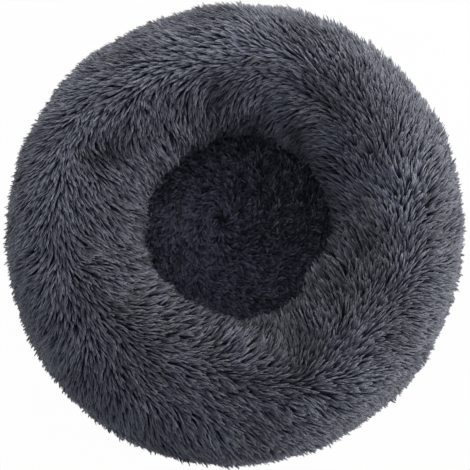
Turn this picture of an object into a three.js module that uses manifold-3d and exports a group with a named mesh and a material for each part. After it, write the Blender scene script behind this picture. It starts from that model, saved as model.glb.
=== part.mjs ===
// A donut pet bed: a thick shag ring round a deep, soft nest.
// Units are millimetres and +Z is up. The origin is on the ground, under the middle of the bed.
// The ring's cover is zipped to the base at the back (+Y), and loose stuffed bags fill it.

import * as THREE from 'three';
import { mergeVertices } from 'three/addons/utils/BufferGeometryUtils.js';
import Module from 'manifold-3d';

// Overall sizes
const bedDiameter = 592; // across the laid fur, without stray tips
const bedHeight = 181; // at the highest stretch of the ring
const nestWidth = 234; // between the inner walls where they come closest
const nestUndercut = 20; // how far the wall draws back between there and the floor
const furOverhang = 32; // how far the fur stands out past the side seam

// Soft layers
const coverThickness = 15; // laid long pile with its backing
const nestPile = 11; // short pile with its backing, at the nest's seam
const nestCrown = 6; // how far the nest's middle swells above its edge
const cushionThickness = 23;
const cushionLap = 14; // how far the cushion reaches in under the ring's cover
const bagWall = 1.2; // non-woven cloth of both inner bags
const slitWidth = 1; // the seam that closes the ring's bag
const stuffingSlitLength = 90; // the opening of the cushion's bag
const stuffingSlitWidth = 2;
const cushionEdgeRound = 7;

// Base
const baseThickness = 1.2;
const baseTurnUp = 11.4; // height of the turned-up edge
const baseEdgeRadius = 5;
const bindingThickness = 0.8;
const bindingHeight = 5.5;
const seamTapeThickness = 1.4;
const seamTapeWidth = 12;
const seamFoot = 3.2; // width of the cover's turned hem, round the side seam
const hemHeight = 6; // the fur's lower edge above the ground
const hemDrawIn = 10; // how far that edge lies inside the widest level

// Zip
const zipTravel = 480; // along the arc that the slider follows
const tapeWidth = 7.4;
const tapeThickness = 0.6;
const coilWidth = 2.9;
const coilThickness = 2.4;
const stopLength = 3;
const stopThickness = 2.8;
const tapeOverrun = 1;

// Slider
const sliderLength = 12;
const sliderNoseShare = 0.76; // of the plates' height, at their narrow end
const sliderPlate = 1.2;
const sliderFlange = 0.8;
const postLength = 3;
const postThickness = 0.8;
const bailSpan = 6.4;
const bailRise = 3.4;
const bailWire = 1;
const bailWidth = 1.4;

// Pull
const pullLength = 11;
const pullWidth = 5.2;
const pullThickness = 1.2;
const pullBar = 1.2; // the cross bar that the bail holds

// Label
const labelWidth = 18;
const labelThickness = 0.5;
const labelDrop = 18;

// Clearances
const seatGap = 0.3; // between two pieces that touch
const runningGap = 0.5; // between the slider and what it passes
const coilGap = 0.4; // between the slider's plates and the coils
const pocketGap = 3; // between the pull's reach and the fur in front of it
const windowEase = 6; // along the arc, where the cover's hem rises over the zip
const pocketEase = 14; // along the arc, where the fur parts in front of the zip

// How finely the round pieces are divided
const fullTurn = 360; // degrees
const ringStep = 12; // degrees
const arcStep = 3; // degrees
const leastStep = 1; // degrees between two of the ring's sections
const pullTipSteps = 10;
const zipMiddle = 90; // degrees from +X, the back of the bed

// The ring's plan: outer radius, inner radius and crest height, every 30 degrees from +X,
// as shares of their driving sizes. The ring is a little lumpy, and its nest lies toward the back.
const outerShares = [0.986, 1.0, 1.003, 0.992, 0.99, 0.988, 0.986, 0.991, 1.0, 0.992, 0.974, 0.984];
const innerShares = [1.09, 1.115, 1.125, 1.145, 1.005, 0.995, 0.985, 0.92, 0.83, 0.91, 0.94, 0.895];
const crestShares = [0.965, 1.0, 0.972, 0.995, 0.975, 0.985, 1.0, 0.99, 0.968, 0.985, 1.0, 0.99];

// The ring's section. A row gives how far out and how high a point lies, as shares:
// first from the hem up to the widest level, then over the crest, then down to the nest's seam.
const widestShare = 0.44; // of the crest's height
const rimShare = 0.53; // of the crest's height
const outerRiseShares = [[0, 0], [0.55, 0.33], [0.9, 0.68]];
const outerCrestShares = [[1, 0], [0.955, 0.36], [0.81, 0.68], [0.56, 0.9], [0.27, 0.985]];
const innerCrestShares = [[0, 1], [0.34, 0.965], [0.68, 0.81], [0.93, 0.44], [1, 0]];
const innerFallShares = [[0.14, 0.36], [0.5, 0.72]];
const bulgeOutShare = 0.4; // the backing's way from the side seam to its widest level
const bulgeUpShare = 0.5;
const leastCornerShare = 0.5; // a sharp corner that is moved in goes at most twice the distance

// Broad folds, where the filling is thinner and the fur lies lower. A row gives degrees round the
// bed, degrees over the section from its outer side, how far the fold reaches each way in degrees,
// and its depth as a share of the deepest one. Where the ring swells instead, the share is negative.
const foldDepth = 17;
const foldShares = [
  [0, 62, 24, 18, 0.24],
  [5, 98, 22, 14, -0.2],
  [5, 120, 18, 18, 0.6],
  [50, 62, 18, 14, -0.3],
  [55, 104, 19, 30, 1],
  [122, 62, 26, 18, 0.33],
  [151, 100, 12, 17, 0.5],
  [216, 94, 18, 17, 0.3],
  [242, 78, 14, 14, 0.2],
  [270, 94, 13, 15, 0.3],
  [300, 110, 12, 24, 0.35],
  [332, 128, 22, 20, 0.3],
];

// Derived places
const bedRadius = bedDiameter / 2;
const seamRadius = bedRadius - furOverhang;
const rimRadius = nestWidth / 2;
const nestSeamRadius = rimRadius + nestUndercut;
const cushionRadius = nestSeamRadius + cushionLap;
const cushionBottom = baseThickness + seatGap;
const cushionTop = cushionBottom + cushionThickness;
const seamTapeBottom = cushionTop + seatGap;
const seamTapeTop = seamTapeBottom + seamTapeThickness;
const nestBottom = seamTapeTop + seatGap;
const nestEdgeTop = nestBottom + nestPile;
const innerFootHeight = seamTapeTop + seatGap;
const hemFootHeight = baseTurnUp + seatGap;
const coilSplit = postThickness + 2 * seatGap; // the slider's post runs between the coils
const coilEdge = coilSplit / 2;
const zipHeight = hemFootHeight + tapeWidth + seatGap + coilWidth + coilSplit / 2;
const windowTop = zipHeight + (zipHeight - hemFootHeight) + seatGap;
const sliderDepth = coilThickness + 2 * (sliderPlate + coilGap);
const sliderHeight = 2 * (coilEdge + coilWidth + 2 * runningGap + sliderFlange);
const sliderSlot = tapeThickness + 2 * seatGap; // the flanges leave this for the tape
const pullPivotRise = bailRise - bailWire - pullBar / 2 - runningGap;
const pullPivotRadius = seamRadius + sliderDepth / 2 + pullPivotRise;
const pocketRadius = pullPivotRadius + pullLength - pullBar / 2 + pocketGap;
const pullEye = bailWidth + 2 * runningGap;
const pullEyeLength = Math.hypot(bailSpan / 2, bailRise - pullPivotRise) + runningGap - pullBar / 2;
const bindingInner = seamRadius + baseThickness / 2 + seatGap;
const bindingOuter = bindingInner + bindingThickness;
const bagInset = sliderDepth / 2 + runningGap - seamFoot / 2;
const fillInset = bagInset + bagWall + seatGap;

// Turns a length along the side seam into degrees of arc.
function seamDegrees(length) {
  return THREE.MathUtils.radToDeg(length / seamRadius);
}

const travelDegrees = seamDegrees(zipTravel);
const sliderHalfDegrees = seamDegrees(sliderLength / 2 + seatGap);
const coilHalfDegrees = travelDegrees / 2 + sliderHalfDegrees;
const stopDegrees = seamDegrees(stopLength);
const tapeHalfDegrees = coilHalfDegrees + seamDegrees(seatGap + stopLength + tapeOverrun);
const windowHalfDegrees = tapeHalfDegrees + seamDegrees(seatGap);
const windowEndDegrees = windowHalfDegrees + seamDegrees(windowEase);
const labelMiddleDegrees = windowEndDegrees + seamDegrees(labelWidth / 2);
const pocketHalfDegrees = windowEndDegrees + seamDegrees(labelWidth);
const pocketEndDegrees = pocketHalfDegrees + seamDegrees(pocketEase);

const wasm = await Module();
wasm.setup();

// Materials
function material(colour, roughness, metalness) {
  return new THREE.MeshStandardMaterial({ color: colour, roughness, metalness });
}

const bed = new THREE.Group();

function addMesh(parent, name, geometry, finish) {
  const mesh = new THREE.Mesh(geometry, finish);
  mesh.name = name;
  parent.add(mesh);
  return mesh;
}

// Boolean helpers: closed geometries to solids and back.
function solidOf(geometry) {
  const bare = geometry.clone();
  bare.deleteAttribute('normal');
  bare.deleteAttribute('uv');
  const merged = mergeVertices(bare);
  const vertProperties = new Float32Array(merged.attributes.position.array);
  const triVerts = new Uint32Array(merged.index.array);
  return new wasm.Manifold(new wasm.Mesh({ numProp: 3, vertProperties, triVerts }));
}

function geometryOf(solid) {
  const mesh = solid.getMesh();
  const geometry = new THREE.BufferGeometry();
  geometry.setAttribute('position', new THREE.BufferAttribute(new Float32Array(mesh.vertProperties), 3));
  geometry.setIndex(new THREE.BufferAttribute(new Uint32Array(mesh.triVerts), 1));
  geometry.computeVertexNormals();
  return geometry;
}

function box(sizeX, sizeY, sizeZ, x, y, z) {
  const geometry = new THREE.BoxGeometry(sizeX, sizeY, sizeZ);
  geometry.translate(x, y, z);
  return geometry;
}

// Reads a table of shares that goes once round the bed, smoothly between its entries.
function aroundRing(shares, degrees) {
  const turn = (((degrees % fullTurn) + fullTurn) % fullTurn) / fullTurn;
  const place = turn * shares.length;
  const index = Math.floor(place);
  const along = place - index;
  const pick = (k) => shares[(index + k + shares.length) % shares.length];
  const [before, from, to, after] = [pick(-1), pick(0), pick(1), pick(2)];
  const slopeFrom = (to - before) / 2;
  const slopeTo = (after - from) / 2;
  const square = along * along;
  const cube = square * along;
  return from * (2 * cube - 3 * square + 1) + slopeFrom * (cube - 2 * square + along)
    + to * (3 * square - 2 * cube) + slopeTo * (cube - square);
}

// Degrees between two directions round the bed.
function degreesApart(degrees, other) {
  const away = Math.abs(degrees - other);
  return Math.min(away, fullTurn - away);
}

// 1 within half degrees of the zip's middle, 0 past end, and straight between.
function openAt(degrees, half, end) {
  return THREE.MathUtils.clamp((end - degreesApart(degrees, zipMiddle)) / (end - half), 0, 1);
}

// How far the folds lower the fur at one place on the ring.
function foldAt(degrees, over) {
  const depths = foldShares.map(([place, height, reachRound, reachOver, depthShare]) => {
    const round = degreesApart(degrees, place) / reachRound;
    const up = (over - height) / reachOver;
    return foldDepth * depthShare * Math.exp(-round * round - up * up);
  });
  return depths.reduce((sum, depth) => sum + depth, 0);
}

function mix(from, to, share) {
  return from + (to - from) * share;
}

// The angles of the ring's sections: even steps, with the zip window's and pocket's edges added.
function sectionAngles() {
  const edges = [windowHalfDegrees, windowEndDegrees, pocketHalfDegrees, pocketEndDegrees];
  const extra = edges.flatMap((edge) => [zipMiddle - edge, zipMiddle + edge]);
  const even = [];
  for (let angle = 0; angle < fullTurn; angle += ringStep) {
    even.push(angle);
  }
  const turned = extra.map((angle) => (angle + fullTurn) % fullTurn);
  const kept = even.filter((angle) => turned.every((other) => degreesApart(other, angle) > leastStep));
  return [...kept, ...turned].sort((a, b) => a - b);
}

const ringAngles = sectionAngles();

// Moves every corner of a closed outline inward by the same distance from its two sides.
// The outline runs anticlockwise, as [radius, height] pairs.
function inset(outline, distance) {
  return outline.map((point, i) => {
    const before = outline[(i + outline.length - 1) % outline.length];
    const after = outline[(i + 1) % outline.length];
    const sideIn = new THREE.Vector2(point[0] - before[0], point[1] - before[1]).normalize();
    const sideOut = new THREE.Vector2(after[0] - point[0], after[1] - point[1]).normalize();
    const normal = new THREE.Vector2(-sideIn.y - sideOut.y, sideIn.x + sideOut.x).normalize();
    const slope = Math.max(normal.dot(new THREE.Vector2(-sideIn.y, sideIn.x)), leastCornerShare);
    return [point[0] + normal.x * distance / slope, point[1] + normal.y * distance / slope];
  });
}

// The laid fur's surface at one angle, from the hem at the outside to the seam in the nest.
function envelope(degrees) {
  const outer = bedRadius * aroundRing(outerShares, degrees);
  const inner = rimRadius * aroundRing(innerShares, degrees);
  const top = bedHeight * aroundRing(crestShares, degrees);
  const crest = (outer + inner) / 2;
  const hem = bedRadius - hemDrawIn;
  const widest = top * widestShare;
  const rim = top * rimShare;
  const seam = nestSeamRadius + seatGap;
  const rise = outerRiseShares.map(([out, up]) => [mix(hem, outer, out), mix(hemHeight, widest, up)]);
  const over = outerCrestShares.map(([out, up]) => [mix(crest, outer, out), mix(widest, top, up)]);
  const down = innerCrestShares.map(([out, up]) => [mix(crest, inner, out), mix(rim, top, up)]);
  const fall = innerFallShares.map(([out, low]) => [mix(inner, seam, out), mix(rim, nestEdgeTop, low)]);
  // A fold moves the surface toward the middle of the section.
  const folded = ([radius, height]) => {
    const out = radius - crest;
    const up = height - rim;
    const depth = foldAt(degrees, THREE.MathUtils.radToDeg(Math.atan2(up, out)));
    const kept = 1 - depth / Math.hypot(out, up);
    return [crest + out * kept, rim + up * kept];
  };
  return [...[...rise, ...over, ...down, ...fall].map(folded), [seam, nestEdgeTop]];
}

// The space inside the cover at one angle, closed below by the base and the cushion.
// It is the cover's inner face, and the bags inside it are the same outline, moved in.
function core(degrees) {
  const laid = envelope(degrees);
  const first = outerRiseShares.length + 1;
  const wall = inset(laid, coverThickness).slice(first, laid.length - 1);
  const backing = wall.filter((point, i) => i % 2 === 0);
  const footRadius = seamRadius - seamFoot / 2;
  const bottom = cushionBottom - bagInset;
  const widest = backing[0];
  const side = windowTop + seamFoot;
  const inner = cushionRadius + seatGap;
  return [
    [footRadius - 2 * cushionEdgeRound, bottom],
    [footRadius - cushionEdgeRound / 2, bottom + cushionEdgeRound / 2],
    [footRadius, bottom + 2 * cushionEdgeRound],
    [footRadius, side],
    [mix(footRadius, widest[0], bulgeOutShare), mix(side, widest[1], bulgeUpShare)],
    ...backing,
    [inner, innerFootHeight],
    [inner, bottom + cushionEdgeRound],
    [inner + 2 * cushionEdgeRound, bottom],
  ];
}

const coreFootIndex = 3; // the core outline's corner above the hem's foot
const coreTailCount = 2; // its last corners, below the cover

// The cover's section: fur outside, backing inside, the hem's foot on the side seam and, at the
// zip, a raised foot with a pocket that the slider and its pull run in.
function coverSection(degrees) {
  const raised = openAt(degrees, windowHalfDegrees, windowEndDegrees);
  const parted = openAt(degrees, pocketHalfDegrees, pocketEndDegrees);
  const footInner = seamRadius - seamFoot / 2;
  const footOuter = seamRadius + seamFoot / 2;
  const footBottom = mix(hemFootHeight, windowTop, raised);
  const nearRadius = Math.max(footOuter, bindingOuter) + seatGap;
  const pocketTop = mix(hemFootHeight, windowTop + 2 * seamFoot, parted);
  const farRadius = mix(nearRadius, pocketRadius, parted);
  const roofRadius = mix(nearRadius, (footOuter + pocketRadius) / 2, parted);
  const inside = core(degrees);
  const face = inside.slice(coreFootIndex, inside.length - coreTailCount).reverse();
  return [
    ...envelope(degrees),
    [nestSeamRadius + seatGap, innerFootHeight],
    ...face,
    [footInner, footBottom],
    [footOuter, footBottom],
    [mix(nearRadius, footOuter, parted), mix(footBottom, pocketTop, parted)],
    [roofRadius, mix(hemFootHeight, pocketTop + seamFoot, parted) - (1 - parted) * seamFoot / 4],
    [farRadius, mix(hemFootHeight - seamFoot / 2, pocketTop, parted)],
    [farRadius, hemHeight],
  ];
}

// Orders a section's corners by height, and a little by radius where heights are alike.
function cornerRank([radius, height]) {
  const radiusShare = 0.41;
  return height + radius * radiusShare;
}

// A closed ring from a section that may change round it.
function ringGeometry(sectionAt) {
  const sections = ringAngles.map((degrees) => sectionAt(degrees));
  const count = sections[0].length;
  const positions = [];
  sections.forEach((section, i) => {
    const angle = THREE.MathUtils.degToRad(ringAngles[i]);
    section.forEach(([radius, height]) => {
      positions.push(radius * Math.cos(angle), radius * Math.sin(angle), height);
    });
  });
  // Each face is split from its higher corner, so that skins lying close together are split alike.
  const index = [];
  sections.forEach((section, i) => {
    const here = i * count;
    const next = ((i + 1) % sections.length) * count;
    section.forEach((point, j) => {
      const k = (j + 1) % count;
      if (cornerRank(point) > cornerRank(section[k])) {
        index.push(here + j, next + j, next + k, here + j, next + k, here + k);
      } else {
        index.push(here + j, next + j, here + k, next + j, next + k, here + k);
      }
    });
  });
  const geometry = new THREE.BufferGeometry();
  geometry.setAttribute('position', new THREE.Float32BufferAttribute(positions, 3));
  geometry.setIndex(index);
  geometry.computeVertexNormals();
  return geometry;
}

// The ring's bag: a skin of one thickness with a slit along its flat bottom.
function linerSection(degrees) {
  const outline = core(degrees);
  const outside = inset(outline, bagInset);
  const within = inset(outline, bagInset + bagWall);
  const middle = (outside[0][0] + outside[outside.length - 1][0]) / 2;
  const far = middle + slitWidth / 2;
  const near = middle - slitWidth / 2;
  const outerHeight = outside[0][1];
  const innerHeight = within[0][1];
  return [
    [far, outerHeight],
    ...outside,
    [near, outerHeight],
    [near, innerHeight],
    ...within.reverse(),
    [far, innerHeight],
  ];
}

// The base cloth: a flat disc with its edge turned up to the side seam. It shares the ring's steps,
// so that its edge keeps the same distance to the cover all the way round.
function discGeometry(outline) {
  // The outline's first and last points lie on the axis.
  const edge = outline.slice(1, -1);
  const ring = ringGeometry(() => edge);
  const positions = Array.from(ring.attributes.position.array);
  const index = Array.from(ring.index.array);
  const count = edge.length;
  const kept = [];
  for (let i = 0; i < index.length; i += 3) {
    const corners = [index[i], index[i + 1], index[i + 2]].map((corner) => corner % count);
    const closing = corners.every((corner) => corner === 0 || corner === count - 1);
    if (!closing) {
      kept.push(index[i], index[i + 1], index[i + 2]);
    }
  }
  const lowCentre = positions.length / 3;
  positions.push(0, 0, outline[0][1]);
  positions.push(0, 0, outline[outline.length - 1][1]);
  ringAngles.forEach((angle, i) => {
    const here = i * count;
    const next = ((i + 1) % ringAngles.length) * count;
    kept.push(lowCentre, next, here);
    kept.push(lowCentre + 1, here + count - 1, next + count - 1);
  });
  const geometry = new THREE.BufferGeometry();
  geometry.setAttribute('position', new THREE.Float32BufferAttribute(positions, 3));
  geometry.setIndex(kept);
  geometry.computeVertexNormals();
  return geometry;
}

function basePanel() {
  const outer = seamRadius + baseThickness / 2;
  const inner = outer - baseThickness;
  const bend = baseEdgeRadius;
  const tight = bend - baseThickness;
  const chamferShare = 0.3;
  return discGeometry([
    [0, 0],
    [outer - bend, 0],
    [outer - bend * chamferShare, bend * chamferShare],
    [outer, bend],
    [outer, baseTurnUp],
    [inner, baseTurnUp],
    [inner, bend],
    [inner - tight * chamferShare, baseThickness + tight * chamferShare],
    [inner - tight, baseThickness],
    [0, baseThickness],
  ]);
}

// The nest's floor: thin at its seam, swelling to its crown in the middle. A row gives shares of
// its radius, of its pile at the seam and of its crown.
function nestPanel() {
  const edge = nestSeamRadius;
  const crownShares = [
    [1, 0.55, 0], [0.985, 0.95, 0], [0.93, 1, 0], [0.75, 1, 0.36], [0.5, 1, 0.76], [0.25, 1, 1],
  ];
  const top = crownShares.map(([out, pile, crown]) => [
    edge * out,
    nestBottom + nestPile * pile + nestCrown * crown,
  ]);
  return discGeometry([
    [0, nestBottom],
    [edge, nestBottom],
    ...top,
    [0, nestEdgeTop + nestCrown],
  ]);
}

// The cushion's bag and its filling share one outline, moved in by the bag's wall.
function cushionGeometry(moved) {
  const outer = cushionRadius - moved;
  const low = cushionBottom + moved;
  const high = cushionTop - moved;
  const round = cushionEdgeRound - moved;
  const shoulderShare = 0.3;
  return discGeometry([
    [0, low],
    [outer - round, low],
    [outer - round * shoulderShare, low + round * shoulderShare],
    [outer, low + round],
    [outer, high - round],
    [outer - round * shoulderShare, high - round * shoulderShare],
    [outer - round, high],
    [0, high],
  ]);
}

function cushionLiner() {
  const outside = solidOf(cushionGeometry(0));
  const hollow = solidOf(cushionGeometry(bagWall));
  const depth = 2 * bagWall;
  const slit = solidOf(box(stuffingSlitLength, stuffingSlitWidth, depth, 0, 0, cushionBottom + bagWall / 2));
  return geometryOf(outside.subtract(hollow).subtract(slit));
}

function ringTape(innerRadius, outerRadius, bottom, top) {
  return ringGeometry(() => [
    [outerRadius, bottom],
    [outerRadius, top],
    [innerRadius, top],
    [innerRadius, bottom],
  ]);
}

// A strip on the side seam's arc: thickness about the given radius, height from a bottom.
function arcStrip(radius, thickness, bottom, height, fromDegrees, toDegrees) {
  const start = THREE.MathUtils.degToRad(fromDegrees);
  const end = THREE.MathUtils.degToRad(toDegrees);
  const outline = new THREE.Shape();
  outline.absarc(0, 0, radius + thickness / 2, start, end, false);
  outline.absarc(0, 0, radius - thickness / 2, end, start, true);
  const curveSegments = Math.max(1, Math.ceil((toDegrees - fromDegrees) / arcStep));
  const geometry = new THREE.ExtrudeGeometry(outline, { depth: height, bevelEnabled: false, curveSegments });
  geometry.translate(0, 0, bottom);
  return geometry;
}

// Soft pieces
const shag = material(0x4b4c55, 0.85, 0);
const plush = material(0x34353c, 0.9, 0);
const nonwoven = material(0xd8d8d6, 0.9, 0);
const fibre = material(0xf1f1ee, 0.95, 0);
const oxford = material(0x2b2c30, 0.8, 0);
const seamCloth = material(0x3a3b41, 0.85, 0);
const tapeCloth = material(0x3f4047, 0.8, 0);
const nylon = material(0x2f3035, 0.45, 0);
const gunmetal = material(0x55575c, 0.35, 0.9);
const label = material(0xe9e8e4, 0.7, 0);

addMesh(bed, 'base_panel', basePanel(), oxford);
addMesh(bed, 'bolster_cover', ringGeometry(coverSection), shag);
addMesh(bed, 'bolster_liner', ringGeometry(linerSection), nonwoven);
addMesh(bed, 'bolster_fill', ringGeometry((degrees) => inset(core(degrees), fillInset)), fibre);
addMesh(bed, 'nest_panel', nestPanel(), plush);
addMesh(bed, 'cushion_liner', cushionLiner(), nonwoven);
addMesh(bed, 'cushion_fill', cushionGeometry(bagWall + seatGap), fibre);

// Seam tapes
const bindingTop = baseTurnUp - seatGap;
const binding = ringTape(bindingInner, bindingOuter, bindingTop - bindingHeight, bindingTop);
addMesh(bed, 'base_binding', binding, seamCloth);

const tapeInner = nestSeamRadius - seamTapeWidth / 2;
const nestTape = ringTape(tapeInner, tapeInner + seamTapeWidth, seamTapeBottom, seamTapeTop);
addMesh(bed, 'nest_seam_tape', nestTape, seamCloth);

// Zip: tapes, coils and stops, mirrored about the zip's height
function zipStrip(name, thickness, nearEdge, width, fromDegrees, toDegrees, side, finish) {
  const bottom = side > 0 ? zipHeight + nearEdge : zipHeight - nearEdge - width;
  const strip = arcStrip(seamRadius, thickness, bottom, width, fromDegrees, toDegrees);
  addMesh(bed, name, strip, finish);
}

const closedEnd = zipMiddle + coilHalfDegrees;
const openEnd = zipMiddle - coilHalfDegrees;
const tapeEdge = coilEdge + coilWidth + seatGap;
const tapeFrom = zipMiddle - tapeHalfDegrees;
const tapeTo = zipMiddle + tapeHalfDegrees;
const stopFrom = closedEnd + seamDegrees(seatGap);

for (const [half, side] of [['upper', 1], ['lower', -1]]) {
  zipStrip(`zip_tape_${half}`, tapeThickness, tapeEdge, tapeWidth, tapeFrom, tapeTo, side, tapeCloth);
  zipStrip(`zip_coil_${half}`, coilThickness, coilEdge, coilWidth, openEnd, closedEnd, side, nylon);
  const stopName = `zip_top_stop_${half}`;
  zipStrip(stopName, stopThickness, coilEdge, coilWidth, stopFrom, stopFrom + stopDegrees, side, gunmetal);
}

const bottomStopTo = openEnd - seamDegrees(seatGap);
const bottomStopHeight = 2 * coilWidth + coilSplit;
const bottomStopLow = zipHeight - bottomStopHeight / 2;
const bottomStop = arcStrip(
  seamRadius, stopThickness, bottomStopLow, bottomStopHeight, bottomStopTo - stopDegrees, bottomStopTo,
);
addMesh(bed, 'zip_bottom_stop', bottomStop, gunmetal);

// Care label, sewn in beside the zip's open end and hanging in front of the cover's hem
const labelRadius = seamRadius + seamFoot / 2 + seatGap + labelThickness / 2;
const labelHalfDegrees = seamDegrees(labelWidth / 2 - seatGap);
const labelAngle = zipMiddle - labelMiddleDegrees;
const careLabel = arcStrip(
  labelRadius, labelThickness, windowTop - labelDrop, labelDrop,
  labelAngle - labelHalfDegrees, labelAngle + labelHalfDegrees,
);
addMesh(bed, 'care_label', careLabel, label);

// The slider's own frame: +X along the zip toward its open end, +Y outward, +Z up.
const slider = new THREE.Group();
const sliderAngle = THREE.MathUtils.degToRad(zipMiddle + travelDegrees / 2);
const sliderPlace = new THREE.Vector3(seamRadius, 0, zipHeight);
sliderPlace.applyAxisAngle(new THREE.Vector3(0, 0, 1), sliderAngle);
slider.position.copy(sliderPlace);
slider.rotation.z = sliderAngle - Math.PI / 2;
bed.add(slider);

// A plate seen from outside, as tall as the slider but for its nose, at a given depth.
function sliderPlateSolid(innerFace) {
  const half = sliderLength / 2;
  const nose = sliderHeight * sliderNoseShare / 2;
  const tall = sliderHeight / 2;
  const shape = new THREE.Shape();
  shape.moveTo(-half, -nose);
  shape.lineTo(-half + postLength, -tall);
  shape.lineTo(half, -tall);
  shape.lineTo(half, tall);
  shape.lineTo(-half + postLength, tall);
  shape.lineTo(-half, nose);
  const geometry = new THREE.ExtrudeGeometry(shape, { depth: sliderPlate, bevelEnabled: false });
  // The plate's outline is turned to stand in the zip's plane.
  geometry.rotateX(Math.PI / 2);
  geometry.translate(0, innerFace + sliderPlate, 0);
  return solidOf(geometry);
}

function bailSolid() {
  const outer = bailSpan / 2;
  const inner = outer - bailWire;
  const shape = new THREE.Shape();
  const overlap = sliderPlate / 2;
  shape.moveTo(-outer, -overlap);
  shape.lineTo(-inner, -overlap);
  shape.lineTo(-inner, bailRise - bailWire);
  shape.lineTo(inner, bailRise - bailWire);
  shape.lineTo(inner, -overlap);
  shape.lineTo(outer, -overlap);
  shape.lineTo(outer, bailRise - bailWire / 2);
  shape.lineTo(outer - bailWire / 2, bailRise);
  shape.lineTo(-outer + bailWire / 2, bailRise);
  shape.lineTo(-outer, bailRise - bailWire / 2);
  const geometry = new THREE.ExtrudeGeometry(shape, { depth: bailWidth, bevelEnabled: false });
  geometry.translate(0, sliderDepth / 2, -bailWidth / 2);
  return solidOf(geometry);
}

function sliderGeometry() {
  const faceIn = sliderDepth / 2 - sliderPlate;
  const postMiddle = -sliderLength / 2 + postLength / 2;
  let body = sliderPlateSolid(faceIn).add(sliderPlateSolid(-sliderDepth / 2));
  body = body.add(solidOf(box(postLength, sliderDepth - sliderPlate, postThickness, postMiddle, 0, 0)));
  const lip = (sliderDepth - sliderSlot) / 2;
  const lipLength = sliderLength - postLength;
  const lipHeight = sliderHeight / 2 - sliderFlange / 2;
  for (const depthSide of [-1, 1]) {
    for (const heightSide of [-1, 1]) {
      const y = depthSide * (sliderSlot + lip) / 2;
      body = body.add(solidOf(box(lipLength, lip, sliderFlange, postLength / 2, y, heightSide * lipHeight)));
    }
  }
  return geometryOf(body.add(bailSolid()));
}

addMesh(slider, 'zip_slider', sliderGeometry(), gunmetal);

// The pull lies along +X at rest, with its cross bar inside the bail.
function pullGeometry() {
  const half = pullWidth / 2;
  const start = -pullBar / 2;
  const end = start + pullLength;
  const shape = new THREE.Shape();
  shape.moveTo(start, -half);
  shape.lineTo(end - half, -half);
  shape.absarc(end - half, 0, half, -Math.PI / 2, Math.PI / 2, false);
  shape.lineTo(start, half);
  const eye = new THREE.Path();
  eye.moveTo(-start, -pullEye / 2);
  eye.lineTo(-start, pullEye / 2);
  eye.lineTo(-start + pullEyeLength, pullEye / 2);
  eye.lineTo(-start + pullEyeLength, -pullEye / 2);
  shape.holes.push(eye);
  const options = { depth: pullThickness, bevelEnabled: false, curveSegments: pullTipSteps };
  const geometry = new THREE.ExtrudeGeometry(shape, options);
  geometry.translate(0, 0, -pullThickness / 2);
  geometry.rotateX(Math.PI / 2);
  return geometry;
}

const pull = addMesh(slider, 'zip_pull', pullGeometry(), gunmetal);
pull.position.set(0, sliderDepth / 2 + pullPivotRise, 0);

export default bed;
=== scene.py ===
import math

import bpy
import numpy as np
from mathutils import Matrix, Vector
from mathutils.bvhtree import BVHTree


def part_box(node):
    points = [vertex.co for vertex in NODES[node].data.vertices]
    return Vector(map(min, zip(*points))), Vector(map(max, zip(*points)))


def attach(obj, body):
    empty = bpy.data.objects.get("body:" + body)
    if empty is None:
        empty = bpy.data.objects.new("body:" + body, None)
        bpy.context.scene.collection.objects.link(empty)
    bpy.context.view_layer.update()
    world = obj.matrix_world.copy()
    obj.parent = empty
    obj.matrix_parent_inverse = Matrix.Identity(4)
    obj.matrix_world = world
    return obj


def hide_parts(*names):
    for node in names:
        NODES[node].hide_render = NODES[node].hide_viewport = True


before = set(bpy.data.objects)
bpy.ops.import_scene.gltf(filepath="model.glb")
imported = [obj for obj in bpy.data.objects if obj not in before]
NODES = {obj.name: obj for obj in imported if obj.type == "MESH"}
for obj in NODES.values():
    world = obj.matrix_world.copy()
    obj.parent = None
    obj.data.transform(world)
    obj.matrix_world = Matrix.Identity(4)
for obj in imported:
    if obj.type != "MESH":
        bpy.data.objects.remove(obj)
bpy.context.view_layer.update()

# A donut pet bed: a ring of long charcoal shag round a deep nest of short plush.
# Lengths are metres. Angles round the bed are degrees from +X, and +Y is the back.

MM = 0.001
TAU = 2 * math.pi

# The ring's section is measured round a middle circle, in plan and in height.
COVER_LOW, COVER_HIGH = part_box("bolster_cover")
NEST_LOW, NEST_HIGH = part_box("nest_panel")
BASE_LOW, BASE_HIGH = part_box("base_panel")
CUSHION_LOW, CUSHION_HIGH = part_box("cushion_liner")
OUTER_RADIUS = (COVER_HIGH[0] - COVER_LOW[0]) / 2
SEAM_RADIUS = (NEST_HIGH[0] - NEST_LOW[0]) / 2
BASE_RADIUS = (BASE_HIGH[0] - BASE_LOW[0]) / 2
RING_RADIUS = (OUTER_RADIUS + 0.85 * SEAM_RADIUS) / 2
RING_LEVEL = 88 * MM
# From the laid fur's surface down to the cloth that holds it. The pile stands out more outside.
BACKING_OUTSIDE = 13.5 * MM
BACKING_INSIDE = 9.0 * MM

AROUND = 240  # steps round the bed on the smooth skins


def from_table(values, degrees):
    """A table that goes once round the bed in even steps, smoothly between its entries."""
    values = np.asarray(values, float)
    place = (np.asarray(degrees) % 360) / 360 * len(values)
    index = np.floor(place).astype(int)
    along = place - index
    blend = along * along * (3 - 2 * along)
    first = values[index % len(values)]
    return first + (values[(index + 1) % len(values)] - first) * blend


def link(name, data):
    piece = bpy.data.objects.new(name, data)
    bpy.context.scene.collection.objects.link(piece)
    return piece


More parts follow.
